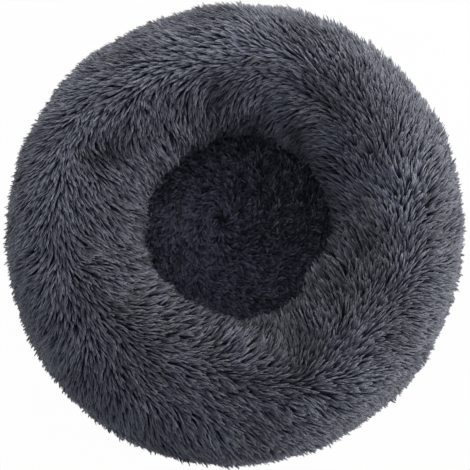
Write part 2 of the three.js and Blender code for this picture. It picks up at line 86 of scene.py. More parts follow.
def mesh_from(name, points, faces):
    """A mesh from an array of points and a list of arrays of faces, each with one size of face."""
    mesh = bpy.data.meshes.new(name)
    points = np.asarray(points, np.float32).reshape(-1, 3)
    mesh.vertices.add(len(points))
    mesh.vertices.foreach_set("co", points.ravel())
    corners = np.concatenate([np.asarray(group, np.int32).ravel() for group in faces])
    sizes = np.concatenate([np.full(len(group), group.shape[1], np.int32) for group in faces])
    mesh.loops.add(len(corners))
    mesh.loops.foreach_set("vertex_index", corners)
    mesh.polygons.add(len(sizes))
    starts = np.concatenate([[0], np.cumsum(sizes)[:-1]]).astype(np.int32)
    mesh.polygons.foreach_set("loop_start", starts)
    mesh.polygons.foreach_set("use_smooth", np.full(len(sizes), True))
    mesh.update(calc_edges=True)
    return mesh


def solid(name, points, faces):
    return link(name, mesh_from(name, points, faces))


def grid_faces(rows, columns, wrap_rows=True, wrap_columns=False):
    """Quads over a grid of rows by columns, rows going round the bed."""
    i = np.arange(rows if wrap_rows else rows - 1)
    j = np.arange(columns if wrap_columns else columns - 1)
    i, j = (part.ravel() for part in np.meshgrid(i, j, indexing="ij"))
    near, far = i * columns, (i + 1) % rows * columns
    left, right = j, (j + 1) % columns
    return np.stack([near + left, far + left, far + right, near + right], axis=1)


def wave_noise(a, b, seed, scale, count=24):
    """Smooth noise over two angles in radians, about -1 to 1: a sum of waves that close round the bed."""
    rng = np.random.default_rng(seed)
    total = np.zeros(np.broadcast(a, b).shape)
    for _ in range(count):
        turn = rng.uniform(0, TAU)
        rate = scale * rng.uniform(0.5, 1.0)
        around = np.round(rate * math.cos(turn) * 2.3)
        across = rate * math.sin(turn)
        total += np.cos(around * a + across * b + rng.uniform(0, TAU))
    return total / math.sqrt(count) / 1.2


def skin_noise(angles, seed, scale):
    return wave_noise(theta_grid[:, None], angles[None, :], seed, scale)


def folds(noise):
    """Noise from 0 to 1."""
    return 0.5 + 0.5 * noise.clip(-1, 1)


# The ring's form, read from the CAD cover by rays toward its middle circle.
theta_grid = np.arange(AROUND) * TAU / AROUND
phi_grid = np.radians(np.arange(-15, 206, 5))

# Narrow creases and low swells beside the frame's broad folds: angle round the bed, angle round the
# ring's section (0 outside, 90 on the crest, 180 in the nest), reach along each in degrees, depth in mm.
CREASES = [
    (97, 118, 4, 24, 8.0), (303, 112, 5, 24, 5.0), (148, 104, 7, 16, 4.0), (330, 62, 7, 20, 3.0),
    (72, 128, 6, 18, 2.0), (186, 78, 8, 14, 3.5), (28, 118, 5, 18, 2.0), (57, 120, 6, 9, -4.5),
    (88, 64, 11, 13, -3.0), (308, 64, 11, 15, -3.0), (15, 168, 6, 20, 3.0), (31, 168, 5, 18, -2.0),
    (45, 168, 6, 20, 5.0), (61, 166, 5, 18, -3.0), (75, 168, 6, 20, 3.5), (315, 168, 6, 20, 5.5),
    (330, 168, 6, 20, -5.5), (345, 168, 6, 20, -4.5), (51, 146, 4, 13, 5.0),
]


def degrees_between(a, b):
    return (np.asarray(a) - b + 180) % 360 - 180


def spot(round_deg, over_deg, centre, middle, wide, tall):
    """1 at a place on the ring, given by its two angles, and falling to 0 round it."""
    return np.exp(-(degrees_between(round_deg, centre) / wide) ** 2 - ((over_deg - middle) / tall) ** 2)


def outward_at(angle):
    """Directions straight out from the bed's axis."""
    return np.stack([np.cos(angle), np.sin(angle), 0 * angle], axis=-1)


def onward_at(angle):
    """Directions anticlockwise round the bed."""
    return np.stack([-np.sin(angle), np.cos(angle), 0 * angle], axis=-1)


def section_reach(node, angles, start):
    """How far the node's skin lies from the middle circle, for each step round the bed and each angle,
    by rays from start metres out."""
    mesh = NODES[node].data
    tree = BVHTree.FromPolygons([vertex.co.copy() for vertex in mesh.vertices],
                                [list(face.vertices) for face in mesh.polygons])
    reach = np.zeros((AROUND, len(angles)))
    for i, theta in enumerate(theta_grid):
        out = Vector((math.cos(theta), math.sin(theta), 0))
        middle = out * RING_RADIUS + Vector((0, 0, RING_LEVEL))
        for j, phi in enumerate(angles):
            way = out * math.cos(phi) + Vector((0, 0, math.sin(phi)))
            hit, _, _, distance = tree.ray_cast(middle + way * start, -way, start)
            reach[i, j] = start - distance if hit else np.nan
    return reach


def smoothed(values, across, along):
    """Averages a grid round the bed and along its section, with a bell-shaped weight."""
    def kernel(width):
        span = np.arange(-3 * width, 3 * width + 1)
        weight = np.exp(-0.5 * (span / width) ** 2)
        return weight / weight.sum(), 3 * width
    weight, half = kernel(across)
    out = sum(w * np.roll(values, k - half, axis=0) for k, w in enumerate(weight))
    weight, half = kernel(along)
    padded = np.pad(out, ((0, 0), (half, half)), mode="edge")
    return sum(w * padded[:, k:k + values.shape[1]] for k, w in enumerate(weight))


def ring_reach():
    reach = smoothed(section_reach("bolster_cover", phi_grid, 0.17), 5, 1)
    theta_deg, phi_deg = np.degrees(theta_grid)[:, None], np.degrees(phi_grid)[None, :]
    for centre, middle, wide, tall, depth in CREASES:
        reach = reach - depth * MM * spot(theta_deg, phi_deg, centre, middle, wide, tall)
    return reach + 1.6 * MM * skin_noise(phi_grid, 5, 5.0) + 1.2 * MM * skin_noise(phi_grid, 6, 13.0)


ZIP_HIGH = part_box("zip_tape_upper")[1]
FOOT_LEVEL = BASE_HIGH[2] + 0.5 * MM
FOOT_RADIUS = BASE_RADIUS + 0.6 * MM
ZIP_HALF = math.degrees(math.asin(min(1, ZIP_HIGH[0] / BASE_RADIUS)))  # degrees from the zip's middle


def foot_level(theta_deg):
    """Height of the cover's lower edge: it rises over the zip at the back."""
    away = np.abs(degrees_between(theta_deg, 90))
    raised = np.clip((ZIP_HALF + 1.6 - away) / 1.4, 0, 1)
    return FOOT_LEVEL + (ZIP_HIGH[2] + 0.4 * MM - FOOT_LEVEL) * raised


def bezier(start, first, second, end, steps):
    t = np.linspace(0, 1, steps)[None, :, None]
    start, first, second, end = (np.asarray(p)[:, None, :] for p in (start, first, second, end))
    u = 1 - t
    return u ** 3 * start + 3 * u * u * t * first + 3 * u * t * t * second + t ** 3 * end


def skin_sections():
    """The cover's cloth as (radius, height) for each step round the bed, from its foot to the nest's seam."""
    over = np.clip((np.degrees(phi_grid) - 35) / 45, 0, 1)
    depth = BACKING_OUTSIDE + (BACKING_INSIDE - BACKING_OUTSIDE) * over * over * (3 - 2 * over)
    reach = RING_FORM - depth
    radius = RING_RADIUS + reach * np.cos(phi_grid)[None, :]
    height = RING_LEVEL + reach * np.sin(phi_grid)[None, :]
    body = np.stack([radius, height], axis=2)
    foot = np.stack([np.full(AROUND, FOOT_RADIUS), foot_level(np.degrees(theta_grid))], axis=1)
    rise = body[:, 0] - foot
    lift = foot + rise * [0.02, 0.4]
    lower = bezier(foot, lift, body[:, 0] + (body[:, 0] - body[:, 1]) * 1.2, body[:, 0], 8)[:, :-1]
    seam = np.tile([SEAM_RADIUS + 0.6 * MM, NEST_HIGH[2] - 7.0 * MM], (AROUND, 1))
    drop = body[:, -1] + (body[:, -1] - body[:, -2]) * 1.2
    upper = bezier(body[:, -1], drop, seam + [3 * MM, 8 * MM], seam, 6)[:, 1:]
    return np.concatenate([lower, body, upper], axis=1)


def around(sections, angles=theta_grid):
    """Turns (radius, height) sections at some angles into points."""
    radius, height = sections[..., 0], sections[..., 1]
    return np.stack([radius * np.cos(angles)[:, None], radius * np.sin(angles)[:, None], height], axis=2)


def grid_normals(points):
    """Outward normals of a grid that goes round the bed."""
    along = np.roll(points, -1, axis=0) - np.roll(points, 1, axis=0)
    normal = np.cross(along, np.gradient(points, axis=1))
    return normal / np.linalg.norm(normal, axis=2, keepdims=True)


def swollen(points, held_columns, cap, pressure, ease):
    """Lets a skin that goes round the bed settle as stuffed cloth. Its seams are held, the cloth is cut
    a little larger than the form by ease, and no point moves further than cap."""
    rows, columns = points.shape[:2]
    piece = solid("settling", points, [grid_faces(rows, columns)])
    held = piece.vertex_groups.new(name="held")
    held.add([row * columns + column for row in range(rows) for column in held_columns], 1.0, "REPLACE")
    cloth = piece.modifiers.new("cloth", "CLOTH")
    wanted = {"quality": 6, "mass": 0.3, "tension_stiffness": 20, "compression_stiffness": 12,
              "bending_stiffness": 1.5, "shrink_min": -ease, "vertex_group_mass": "held",
              "use_pressure": True, "uniform_pressure_force": pressure}
    for name, value in wanted.items():
        setattr(cloth.settings, name, value)
    cloth.settings.effector_weights.gravity = 0
    cloth.collision_settings.use_self_collision = False
    for number in range(1, 21):
        bpy.context.scene.frame_set(number)
    settled = piece.evaluated_get(bpy.context.evaluated_depsgraph_get())
    moved = np.empty(rows * columns * 3, np.float32)
    settled.data.vertices.foreach_get("co", moved)
    mesh = piece.data
    bpy.data.objects.remove(piece)
    bpy.data.meshes.remove(mesh)
    bpy.context.scene.frame_set(1)
    change = moved.reshape(points.shape) - points
    distance = np.linalg.norm(change, axis=2, keepdims=True)
    return points + change * np.minimum(1, cap / np.maximum(distance, 1e-9))


RING_FORM = ring_reach()
skin_points = around(skin_sections())
skin_points = swollen(skin_points, [0, 1, skin_points.shape[1] - 1], cap=5 * MM, pressure=4.0, ease=0.05)
skin_normals = grid_normals(skin_points)


# Materials
class Tree:
    """A hand for filling one node tree."""

    def __init__(self, owner):
        owner.use_nodes = True
        self.nodes, self.links = owner.node_tree.nodes, owner.node_tree.links

    def put(self, node, inputs):
        """Gives a node's inputs, by name or number, a constant or another node's output each."""
        for name, value in inputs.items():
            if isinstance(value, bpy.types.NodeSocket):
                self.links.new(value, node.inputs[name])
            else:
                node.inputs[name].default_value = value
        return node

    def add(self, kind, inputs, **settings):
        node = self.nodes.new(kind)
        for name, value in settings.items():
            setattr(node, name, value)
        return self.put(node, inputs)

    def ramp(self, place, stops):
        """Colours between stops of a place and a colour."""
        node = self.add("ShaderNodeValToRGB", {"Fac": place})
        elements = node.color_ramp.elements
        while len(elements) < len(stops):
            elements.new(0.5)
        for element, (position, colour) in zip(elements, stops):
            element.position = position
            element.color = (*colour, 1)
        return node.outputs["Color"]

    def blend(self, first, second, share=0.5):
        return self.add("ShaderNodeMix", {"Factor": share, "A": first, "B": second}).outputs["Result"]

    def texture(self, kind, inputs, output="Fac", **settings):
        """A texture laid in the piece's own space, in metres."""
        place = self.add("ShaderNodeTexCoord", {}).outputs["Object"]
        return self.add(kind, {"Vector": place, **inputs}, **settings).outputs[output]

    def noise(self, scale, detail):
        return self.texture("ShaderNodeTexNoise", {"Scale": scale, "Detail": detail})


def new_material(name):
    material = bpy.data.materials.new(name)
    tree = Tree(material)
    return material, tree, tree.nodes["Principled BSDF"]


# Painted shade: how much bluer the fur's colour is made down in its shade, from the roots up.
ROOT_SHADE_TINT = (0.90, 0.96, 1.75)
SHADED_TINT = (0.92, 0.98, 1.4)
MIDDLE_SHADE_TINT = (0.955, 0.99, 1.18)


def grey(value, tint=(0.93, 0.995, 1.24)):
    return tuple(value * part for part in tint)


def evenly(stops):
    """Stops of grey for a ramp."""
    return [(place, (value,) * 3) for place, value in stops]


def fur_material(name, root, tip, tip_tint, tone_low, tone_high, roughness, sheen):
    """Strand colour from its own map: across is the strand's tone, up is from root to tip, with painted shade
    that makes the colour darker and bluer toward the root.
    """
    material, tree, shader = new_material(name)
    painted_shade_levels = ((0.0, 0.0, ROOT_SHADE_TINT), (0.35, 0.22, SHADED_TINT), (0.7, 0.72, MIDDLE_SHADE_TINT),
              (1.0, 1.0, tip_tint))
    place = tree.add("ShaderNodeUVMap", {}, uv_map="OFBake").outputs["UV"]
    split = tree.add("ShaderNodeSeparateXYZ", {"Vector": place}).outputs
    # Painted shade: the colour darkens and turns bluer from tip to root.
    length = tree.ramp(split["Y"], [(level, grey(root + (tip - root) * share, tint))
                                    for level, share, tint in painted_shade_levels])
    tone = tree.ramp(split["X"], evenly([(0.0, tone_low), (0.5, 1.0), (1.0, tone_high)]))
    mixed = tree.add("ShaderNodeMix", {"Factor": 1.0, "A": length, "B": tone},
                     data_type="RGBA", blend_type="MULTIPLY", clamp_result=False)
    tree.put(shader, {"Base Color": mixed.outputs["Result"], "Roughness": roughness,
                      "Specular IOR Level": 0.1, "Sheen Weight": sheen, "Sheen Roughness": 0.5})
    return material


def shades(colour, spread, low, high):
    """Stops for a darker and a paler version of a colour."""
    return [(low, [part * (1 - spread) for part in colour]),
            (high, [min(1, part * (1 + spread)) for part in colour])]


def finish(tree, shader, shade, height, tints, wear, strength, relief):
    """Colour and polish from one texture, and relief from another."""
    bump = tree.add("ShaderNodeBump", {"Strength": strength, "Distance": relief, "Height": height})
    tree.put(shader, {"Base Color": tree.ramp(shade, tints), "Roughness": tree.ramp(shade, evenly(wear)),
                      "Normal": bump.outputs["Normal"]})


def finish_cloth(tree, shader, height, shade, colour, spread, relief, roughness, sheen):
    wear = [(0.3, roughness - 0.08), (0.7, min(1, roughness + 0.08))]
    finish(tree, shader, shade, height, shades(colour, spread, 0.3, 0.7), wear, 0.6, relief)
    tree.put(shader, {"Sheen Weight": sheen})


def woven_material(name, colour, pitch, roughness=0.8, sheen=0.1, spread=0.3):
    """A plain weave: threads at a stated pitch along three directions, so that every face shows two."""
    material, tree, shader = new_material(name)
    look = {"Scale": 0.314 / pitch, "Distortion": 0.6, "Detail": 1.0}
    threads = [tree.texture("ShaderNodeTexWave", look, bands_direction=direction) for direction in "XYZ"]
    weave = tree.blend(tree.blend(threads[0], threads[1]), threads[2], 0.33)
    shade = tree.blend(weave, tree.noise(18, 4))
    finish_cloth(tree, shader, weave, shade, colour, spread, 0.35 * pitch, roughness, sheen)
    return material


def felt_material(name, colour, fibre, sheen=0.15, spread=0.2, relief=0.5):
    """Unwoven cloth or loose fibre: fine uneven grain of a stated size under broad soft mottling."""
    material, tree, shader = new_material(name)
    fine = tree.noise(0.5 / fibre, 3)
    shade = tree.blend(fine, tree.noise(22, 4))
    finish_cloth(tree, shader, fine, shade, colour, spread, relief * fibre, 0.9, sheen)
    return material


def dimpled_material(name, colour, pitch):
    """Spun-bonded cloth with its small pressed dots."""
    material, tree, shader = new_material(name)
    dots = tree.texture("ShaderNodeTexVoronoi", {"Scale": 1 / pitch, "Randomness": 0.35}, "Distance")
    shade = tree.blend(dots, tree.noise(30, 4), 0.6)
    finish_cloth(tree, shader, dots, shade, colour, 0.07, 0.3 * MM, 0.85, 0.05)
    return material


def hard_material(name, colour, roughness, metallic, grain):
    """Metal or moulded plastic with fine grain and uneven polish."""
    material, tree, shader = new_material(name)
    fine = tree.noise(0.5 / grain, 3)
    wear = [(0.3, roughness * 0.85), (0.75, roughness * 1.15)]
    finish(tree, shader, fine, fine, shades(colour, 0.08, 0.35, 0.7), wear, 0.25, 0.1 * grain)
    tree.put(shader, {"Metallic": metallic})
    return material


# Painted shade: each fur's root colour is far darker than its tip, for the shade down in the pile.
SHAG = fur_material("shag_fur", root=0.018, tip=0.221, tip_tint=(0.975, 0.998, 1.05),
                    tone_low=0.40, tone_high=1.6, roughness=0.55, sheen=0.06)
PLUSH = fur_material("plush_fur", root=0.01, tip=0.2, tip_tint=(0.98, 0.985, 1.12),
                     tone_low=0.2, tone_high=2.6, roughness=0.75, sheen=0.03)
# Painted shade: the backing cloth is near black so that the gaps between the strands show dark.
BACKING_PAINTED_SHADE = felt_material("fur_backing_painted_shade", grey(0.018), 0.8 * MM)
OXFORD = woven_material("oxford_cloth", grey(0.024), 1.1 * MM, roughness=0.6)
SEAM_CLOTH = woven_material("seam_cloth", grey(0.04), 0.7 * MM)
ZIP_CLOTH = woven_material("zip_cloth", grey(0.045), 0.6 * MM)
NONWOVEN = dimpled_material("nonwoven_cloth", (0.72, 0.72, 0.70), 1.3 * MM)
FIBRE = felt_material("polyester_fibre", (0.86, 0.86, 0.84), 2.2 * MM, spread=0.08, relief=1.2)
LABEL_CLOTH = woven_material("label_cloth", (0.68, 0.67, 0.64), 0.3 * MM, roughness=0.45, spread=0.06)
NYLON = hard_material("zip_nylon", grey(0.03), roughness=0.4, metallic=0.0, grain=0.3 * MM)
METAL = hard_material("zip_metal", (0.16, 0.165, 0.175), roughness=0.32, metallic=0.95, grain=0.4 * MM)
GRIP = hard_material("grip_dots", grey(0.05), roughness=0.55, metallic=0.0, grain=0.5 * MM)
THREAD = felt_material("sewing_thread", grey(0.07), 0.25 * MM, sheen=0.3)


def give(piece, material):
    piece.data.materials.clear()
    piece.data.materials.append(material)
    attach(piece, "bed")
    return piece


# The cover's cloth, with its thickness: an outer and an inner face, closed along both edges
CLOTH_THICKNESS = 1.2 * MM
cover_points = np.concatenate([skin_points, (skin_points - skin_normals * CLOTH_THICKNESS)[:, ::-1]], axis=1)
cover_faces = grid_faces(AROUND, cover_points.shape[1], wrap_columns=True)
cover = solid("shag_cover_cloth", cover_points, [cover_faces])
give(cover, BACKING_PAINTED_SHADE)
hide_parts("bolster_cover")


# Rings, discs and arcs
def rounded(low_r, high_r, low_z, high_z, corner, steps=4):
    """A rounded rectangle as a closed section of (radius, height)."""
    turns = np.linspace(0, math.pi / 2, steps)
    centres = [(high_r - corner, low_z + corner), (high_r - corner, high_z - corner),
               (low_r + corner, high_z - corner), (low_r + corner, low_z + corner)]
    sides = []
    for number, (r, z) in enumerate(centres):
        angle = turns + (number - 1) * math.pi / 2
        sides.append(np.stack([r + corner * np.cos(angle), z + corner * np.sin(angle)], axis=1))
    return np.concatenate(sides)


def swept(name, sections, angles, whole=True):
    """A closed body from closed sections at the given angles, with flat ends unless it goes all round."""
    sections = np.asarray(sections, float)
    if sections.ndim == 2:
        sections = np.repeat(sections[None], len(angles), axis=0)
    points = around(sections, angles)
    count = sections.shape[1]
    faces = [grid_faces(len(angles), count, wrap_rows=whole, wrap_columns=True)]
    if not whole:
        corner = np.arange(1, count - 1)
        fan = np.stack([0 * corner, corner, corner + 1], axis=1)
        faces += [fan, (fan + (len(angles) - 1) * count)[:, ::-1]]
    return solid(name, points, faces)


def disc_parts(sections):
    """Points and faces of a closed round body, from sections that run out along its bottom and back
    along its top."""
    count = sections.shape[1]
    hub = AROUND * count
    starts = np.arange(AROUND) * count
    nexts = np.roll(starts, -1)
    low = np.stack([nexts, starts, np.full(AROUND, hub)], axis=1)
    high = np.stack([starts + count - 1, nexts + count - 1, np.full(AROUND, hub + 1)], axis=1)
    middle = [[0, 0, sections[:, 0, 1].mean()], [0, 0, sections[:, -1, 1].mean()]]
    return np.concatenate([around(sections).reshape(-1, 3), middle]), [grid_faces(AROUND, count), low, high]


def disc_body(name, sections):
    return solid(name, *disc_parts(sections))


def same_all_round(profile):
    return np.repeat(np.asarray(profile, float)[None], AROUND, axis=0)


# Fur
RINGS = np.array([0.0, 0.42, 0.88])  # where a strand has its cross sections, root to tip
RING_WIDTHS = np.array([0.8, 1.05, 0.85])


def lay(scaled, length, lift_root, lift_tip):
    """How far along and how far up a strand has gone, where it bends evenly from one lift to another."""
    turn = np.where(np.abs(lift_tip - lift_root) < 1e-3, 1e-3, lift_tip - lift_root)
    angle = lift_root + turn * scaled
    forward = (np.sin(angle) - np.sin(lift_root)) / turn
    upward = (np.cos(lift_root) - np.cos(angle)) / turn
    return length * forward, length * upward


def unit(vectors):
    return vectors / np.maximum(np.linalg.norm(vectors, axis=-1, keepdims=True), 1e-9)


def strand_points(locks, owner, offset, reach, gather, thickness, roll):
    """Corner points of every strand, as strands by 10 by 3. A strand follows its lock's bend, starts
    beside the lock's root and gathers toward the lock's tip."""
    lock = {key: values[owner] for key, values in locks.items()}
    side = np.cross(lock["normal"], lock["along"])
    centres = []
    for share in [*RINGS, 1.0]:
        scaled = share * reach
        forward, upward = lay(scaled, lock["length"], lock["lift_root"], lock["lift_tip"])
        sideways = lock["bend"] * scaled ** 2 + lock["wave"] * np.sin(scaled * 5 + roll)
        centre = lock["root"] + lock["along"] * forward[:, None]
        centre = centre + lock["normal"] * upward[:, None] + side * sideways[:, None]
        centre = centre + offset * (1 - gather * scaled ** 1.3)[:, None]
        centre[:, 2] -= lock["sag"] * scaled ** 2
        centres.append(centre)
    centres = np.stack(centres, axis=1)
    heading = unit(np.gradient(centres, axis=1))
    across = unit(np.cross(lock["normal"][:, None, :], heading))
    up = np.cross(heading, across)
    points = np.empty((len(owner), 3 * len(RINGS) + 1, 3), np.float32)
    for k, width in enumerate(RING_WIDTHS):
        for corner in range(3):
            angle = roll + corner * TAU / 3
            wide = 0.5 * width * thickness * np.cos(angle)
            tall = 0.35 * width * thickness * np.sin(angle)
            points[:, 3 * k + corner] = (
                centres[:, k] + across[:, k] * wide[:, None] + up[:, k] * tall[:, None])
    points[:, -1] = centres[:, -1]
    return points


def tube_quads(corners, rings):
    """The side faces of a small tube, whose rings of corners follow each other."""
    near = np.arange(corners)
    after = (near + 1) % corners
    ring = np.stack([near, after, after + corners, near + corners], axis=1)
    return np.concatenate([ring + corners * k for k in range(rings - 1)])


def repeated(faces, count, size):
    """The faces of one small solid, for count solids of size points each."""
    step = (np.arange(count) * size)[:, None, None]
    return (np.asarray(faces)[None] + step).reshape(-1, np.shape(faces)[1])


def strand_mesh(name, points, tone):
    """One mesh of many closed strands, with the map that its material reads."""
    count, size = points.shape[:2]
    last = size - 4
    tips = [[last + a, last + b, size - 1] for a, b in ((0, 1), (1, 2), (2, 0))] + [[2, 1, 0]]
    faces = [repeated(part, count, size) for part in (tube_quads(3, len(RINGS)), tips)]
    mesh = mesh_from(name, points, faces)
    across = np.tile(np.concatenate([np.tile([0.0, 0.004, 0.008], len(RINGS)), [0.004]]), (count, 1))
    across += tone[:, None] * 0.98
    up = np.tile(np.concatenate([np.repeat(0.01 + RINGS * 0.98, 3), [0.99]]), (count, 1))
    place = np.stack([across, up], axis=2).reshape(-1, 2)
    corners = np.concatenate([group.ravel() for group in faces])
    layer = mesh.uv_layers.new(name="OFBake")
    layer.uv.foreach_set("vector", place[corners].astype(np.float32).ravel())
    return mesh


# One over the plastic number and over its square: steps that fill a square evenly.
EVEN_STEPS = (0.7548776662466927, 0.5698402909980532)


def spread_points(count, seed):
    """Evenly spread pairs of numbers from 0 to 1, a little shaken."""
    rng = np.random.default_rng(seed)
    step = np.arange(count)
    shake = 0.45 / math.sqrt(count)
    first = np.clip((0.5 + step * EVEN_STEPS[0]) % 1 + rng.uniform(-shake, shake, count), 0, 0.99999)
    second = ((0.5 + step * EVEN_STEPS[1]) % 1 + rng.uniform(-shake, shake, count)) % 1
    return first, second


def roots_on_grid(points, normals, count, seed):
    """Root places spread evenly by area over a grid that goes round the bed."""
    across = np.linalg.norm(np.diff(points, axis=1), axis=2).mean(axis=0)
    radius = np.hypot(points[..., 0], points[..., 1]).mean(axis=0)
    area = across * (radius[1:] + radius[:-1]) / 2
    total = np.concatenate([[0], np.cumsum(area)])
    first, second = spread_points(count, seed)
    column = np.interp(first * total[-1], total, np.arange(len(total)))
    row = second * len(points)
    i, j = np.floor(row).astype(int), np.minimum(np.floor(column).astype(int), points.shape[1] - 2)
    a, b = (row - i)[:, None], (column - j)[:, None]
    i, after = i % len(points), (i + 1) % len(points)

    def at(grid):
        near = grid[i, j] * (1 - b) + grid[i, j + 1] * b
        return near * (1 - a) + (grid[after, j] * (1 - b) + grid[after, j + 1] * b) * a

    return at(points), unit(at(normals)), second * TAU


# How the shag is combed, every 30 degrees round the bed. It runs round the ring anticlockwise
# and falls to both sides. A higher fall turns it from along the ring to down its side.
FALL_OUTSIDE = [5.8, 1.9, 0.9, 1.5, 2.1, 2.0, 2.9, 4.8, 1.7, 1.4, 3.0, 7.5]
FALL_INSIDE = [2.0, 0.6, 4.0, 3.2, 5.0, 5.0, 2.2, 3.0, 1.8, 1.6, 3.8, 1.8]
CREST_LEAN = [0.05, 0.4, 0.2, -0.4, -0.4, -1.3, -0.5, -0.1, 0.25, 0.7, 0.0, 0.2]
STANDS_OUT = [-14, 16, 24, 12, 2, 2, 4, 4, 4, 8, 8, -8]  # degrees the outer tips stand out by
# Painted light and shade: lighter and darker tone patches that the photograph shows where the pile turns,
# standing in for its sheen and shade: angle round, angle round the section, reach along each in degrees, and
# strength.
PAINTED_LIGHT_PATCHES = [
    (59, 92, 14, 24, -0.36), (36, 96, 9, 12, -0.10), (-2, 120, 11, 20, -0.34), (0, 76, 13, 15, 0.12),
    (29, 140, 9, 26, 0.58), (152, 158, 17, 16, 0.28), (15, 88, 9, 20, 0.78), (74, 134, 11, 16, 0.40),
    (205, 158, 46, 14, 0.26), (122, 84, 9, 18, 0.14), (165, 124, 10, 14, -0.12), (338, 120, 14, 18, -0.10),
    (345, 62, 22, 16, -0.12), (315, 128, 8, 24, 0.30), (270, 140, 10, 18, 0.36), (300, 158, 8, 10, -0.15),
    (345, 98, 6, 9, -0.18), (10, 160, 12, 12, 0.16), (318, 140, 38, 34, -0.36), (304, 114, 8, 20, -0.28),
    (276, 100, 10, 12, -0.22), (96, 114, 7, 20, -0.12), (147, 105, 10, 14, -0.34), (216, 108, 14, 14, -0.22),
    (238, 86, 11, 14, -0.16), (188, 102, 9, 12, -0.16), (281, 128, 8, 12, 0.12), (107, 76, 11, 18, 0.34),
    (85, 70, 14, 16, 0.36), (132, 76, 20, 16, 0.34), (308, 64, 11, 15, 0.20), (23, 60, 12, 16, 0.10),
    (57, 114, 5, 9, 0.20), (184, 66, 24, 24, 0.42), (240, 138, 38, 26, -0.16), (136, 136, 10, 13, 0.16),
    (75, 88, 6, 9, -0.16), (14, 98, 7, 11, 0.34), (150, 64, 10, 14, 0.20), (13, 44, 8, 12, -0.14),
    (202, 100, 8, 14, -0.12),
]


SECTION_RADIUS = 80 * MM
# Places the pile turns away from: angle round the bed and round the section, reach, strength.
WHORLS = [(299, 84, 34 * MM, 1.2), (60, 96, 26 * MM, 1.0), (190, 84, 30 * MM, 0.9), (128, 86, 26 * MM, 0.9)]


def rotate_in_plane(along, normal, angle):
    side = np.cross(normal, along)
    return along * np.cos(angle)[:, None] + side * np.sin(angle)[:, None]


def ring_angles(points):
    """Degrees round the bed and degrees round the ring's section of points near the ring."""
    radius = np.hypot(points[:, 0], points[:, 1])
    over = np.degrees(np.arctan2(points[:, 2] - RING_LEVEL, radius - RING_RADIUS))
    return np.degrees(np.arctan2(points[:, 1], points[:, 0])), np.where(over < -90, over + 360, over)


SHAG_LENGTH = 24 * MM


def bell(value, middle, reach):
    return np.exp(-((value - middle) / reach) ** 2)


def rising(value, start, reach):
    """0 up to a start and 1 from one reach past it. A reach below 0 runs the other way."""
    return np.clip((value - start) / reach, 0, 1)


def bundles(rng, root, normal, along, theta, length, tone, lift_root, lift_tip, bend, wide, wave, sag):
    """Locks of strands. Lifts are degrees off the cloth, and bend, wave and sag are shares of the length."""
    count = len(root)
    return {
        "root": root, "normal": normal, "along": along, "length": length, "tone": tone, "theta": theta,
        "lift_root": np.radians(lift_root), "lift_tip": np.radians(lift_tip),
        "bend": length * rng.normal(0, bend, count), "wide": rng.uniform(*wide, count),
        "wave": length * np.abs(rng.normal(0, wave, count)), "sag": length * sag,
    }


def combed(root, normal, theta, seed, rng):
    """Which way the shag lies: round the ring, down its sides and away from the whorls."""
    radius = np.hypot(root[:, 0], root[:, 1])
    round_deg, phi_deg = ring_angles(root)
    phi = np.radians(phi_deg)
    ring_way = onward_at(theta)
    outside = np.cross(ring_way, normal)
    outside = outside * np.sign(np.sum(outside * outward_at(theta), axis=1) + 1e-9)[:, None]
    # Past the widest level the way down the outside turns back under, so it is taken from the section.
    wrong = ((phi_deg < 5) & (outside[:, 2] > 0)) | ((phi_deg > 175) & (outside[:, 2] < 0))
    outside[wrong] *= -1
    slope = np.cos(phi)
    slope = np.where(slope > 0, np.abs(slope) ** 1.35, slope)
    # The upper part of the outer side is combed more along the ring than the rest.
    outer_fall = from_table(FALL_OUTSIDE, round_deg) * (1 - 0.35 * bell(phi_deg, 42, 26))
    fall = np.where(slope > 0, outer_fall, from_table(FALL_INSIDE, round_deg)) * slope
    fall += from_table(CREST_LEAN, round_deg) * bell(phi_deg, 98, 34)
    along = unit(ring_way + outside * fall[:, None])
    for centre, middle, reach, strength in WHORLS:
        from_round = np.radians(degrees_between(round_deg, centre)) * radius
        from_section = (phi - math.radians(middle)) * SECTION_RADIUS
        away = ring_way * from_round[:, None] - outside * from_section[:, None]
        nearness = np.exp(-(from_round ** 2 + from_section ** 2) / reach ** 2)
        along = unit(along + away * (strength * nearness / reach)[:, None])
    swirl = 0.26 * wave_noise(theta, phi, seed + 1, 8.0) + 0.20 * wave_noise(theta, phi, seed + 2, 20.0)
    along = rotate_in_plane(along, normal, swirl + rng.normal(0, 0.09, len(root)))
    # Under the widest level the pile hangs free and straightens.
    return unit(along + np.array([0, 0, -1.0]) * rising(phi_deg, 12, -40)[:, None] * 0.9)


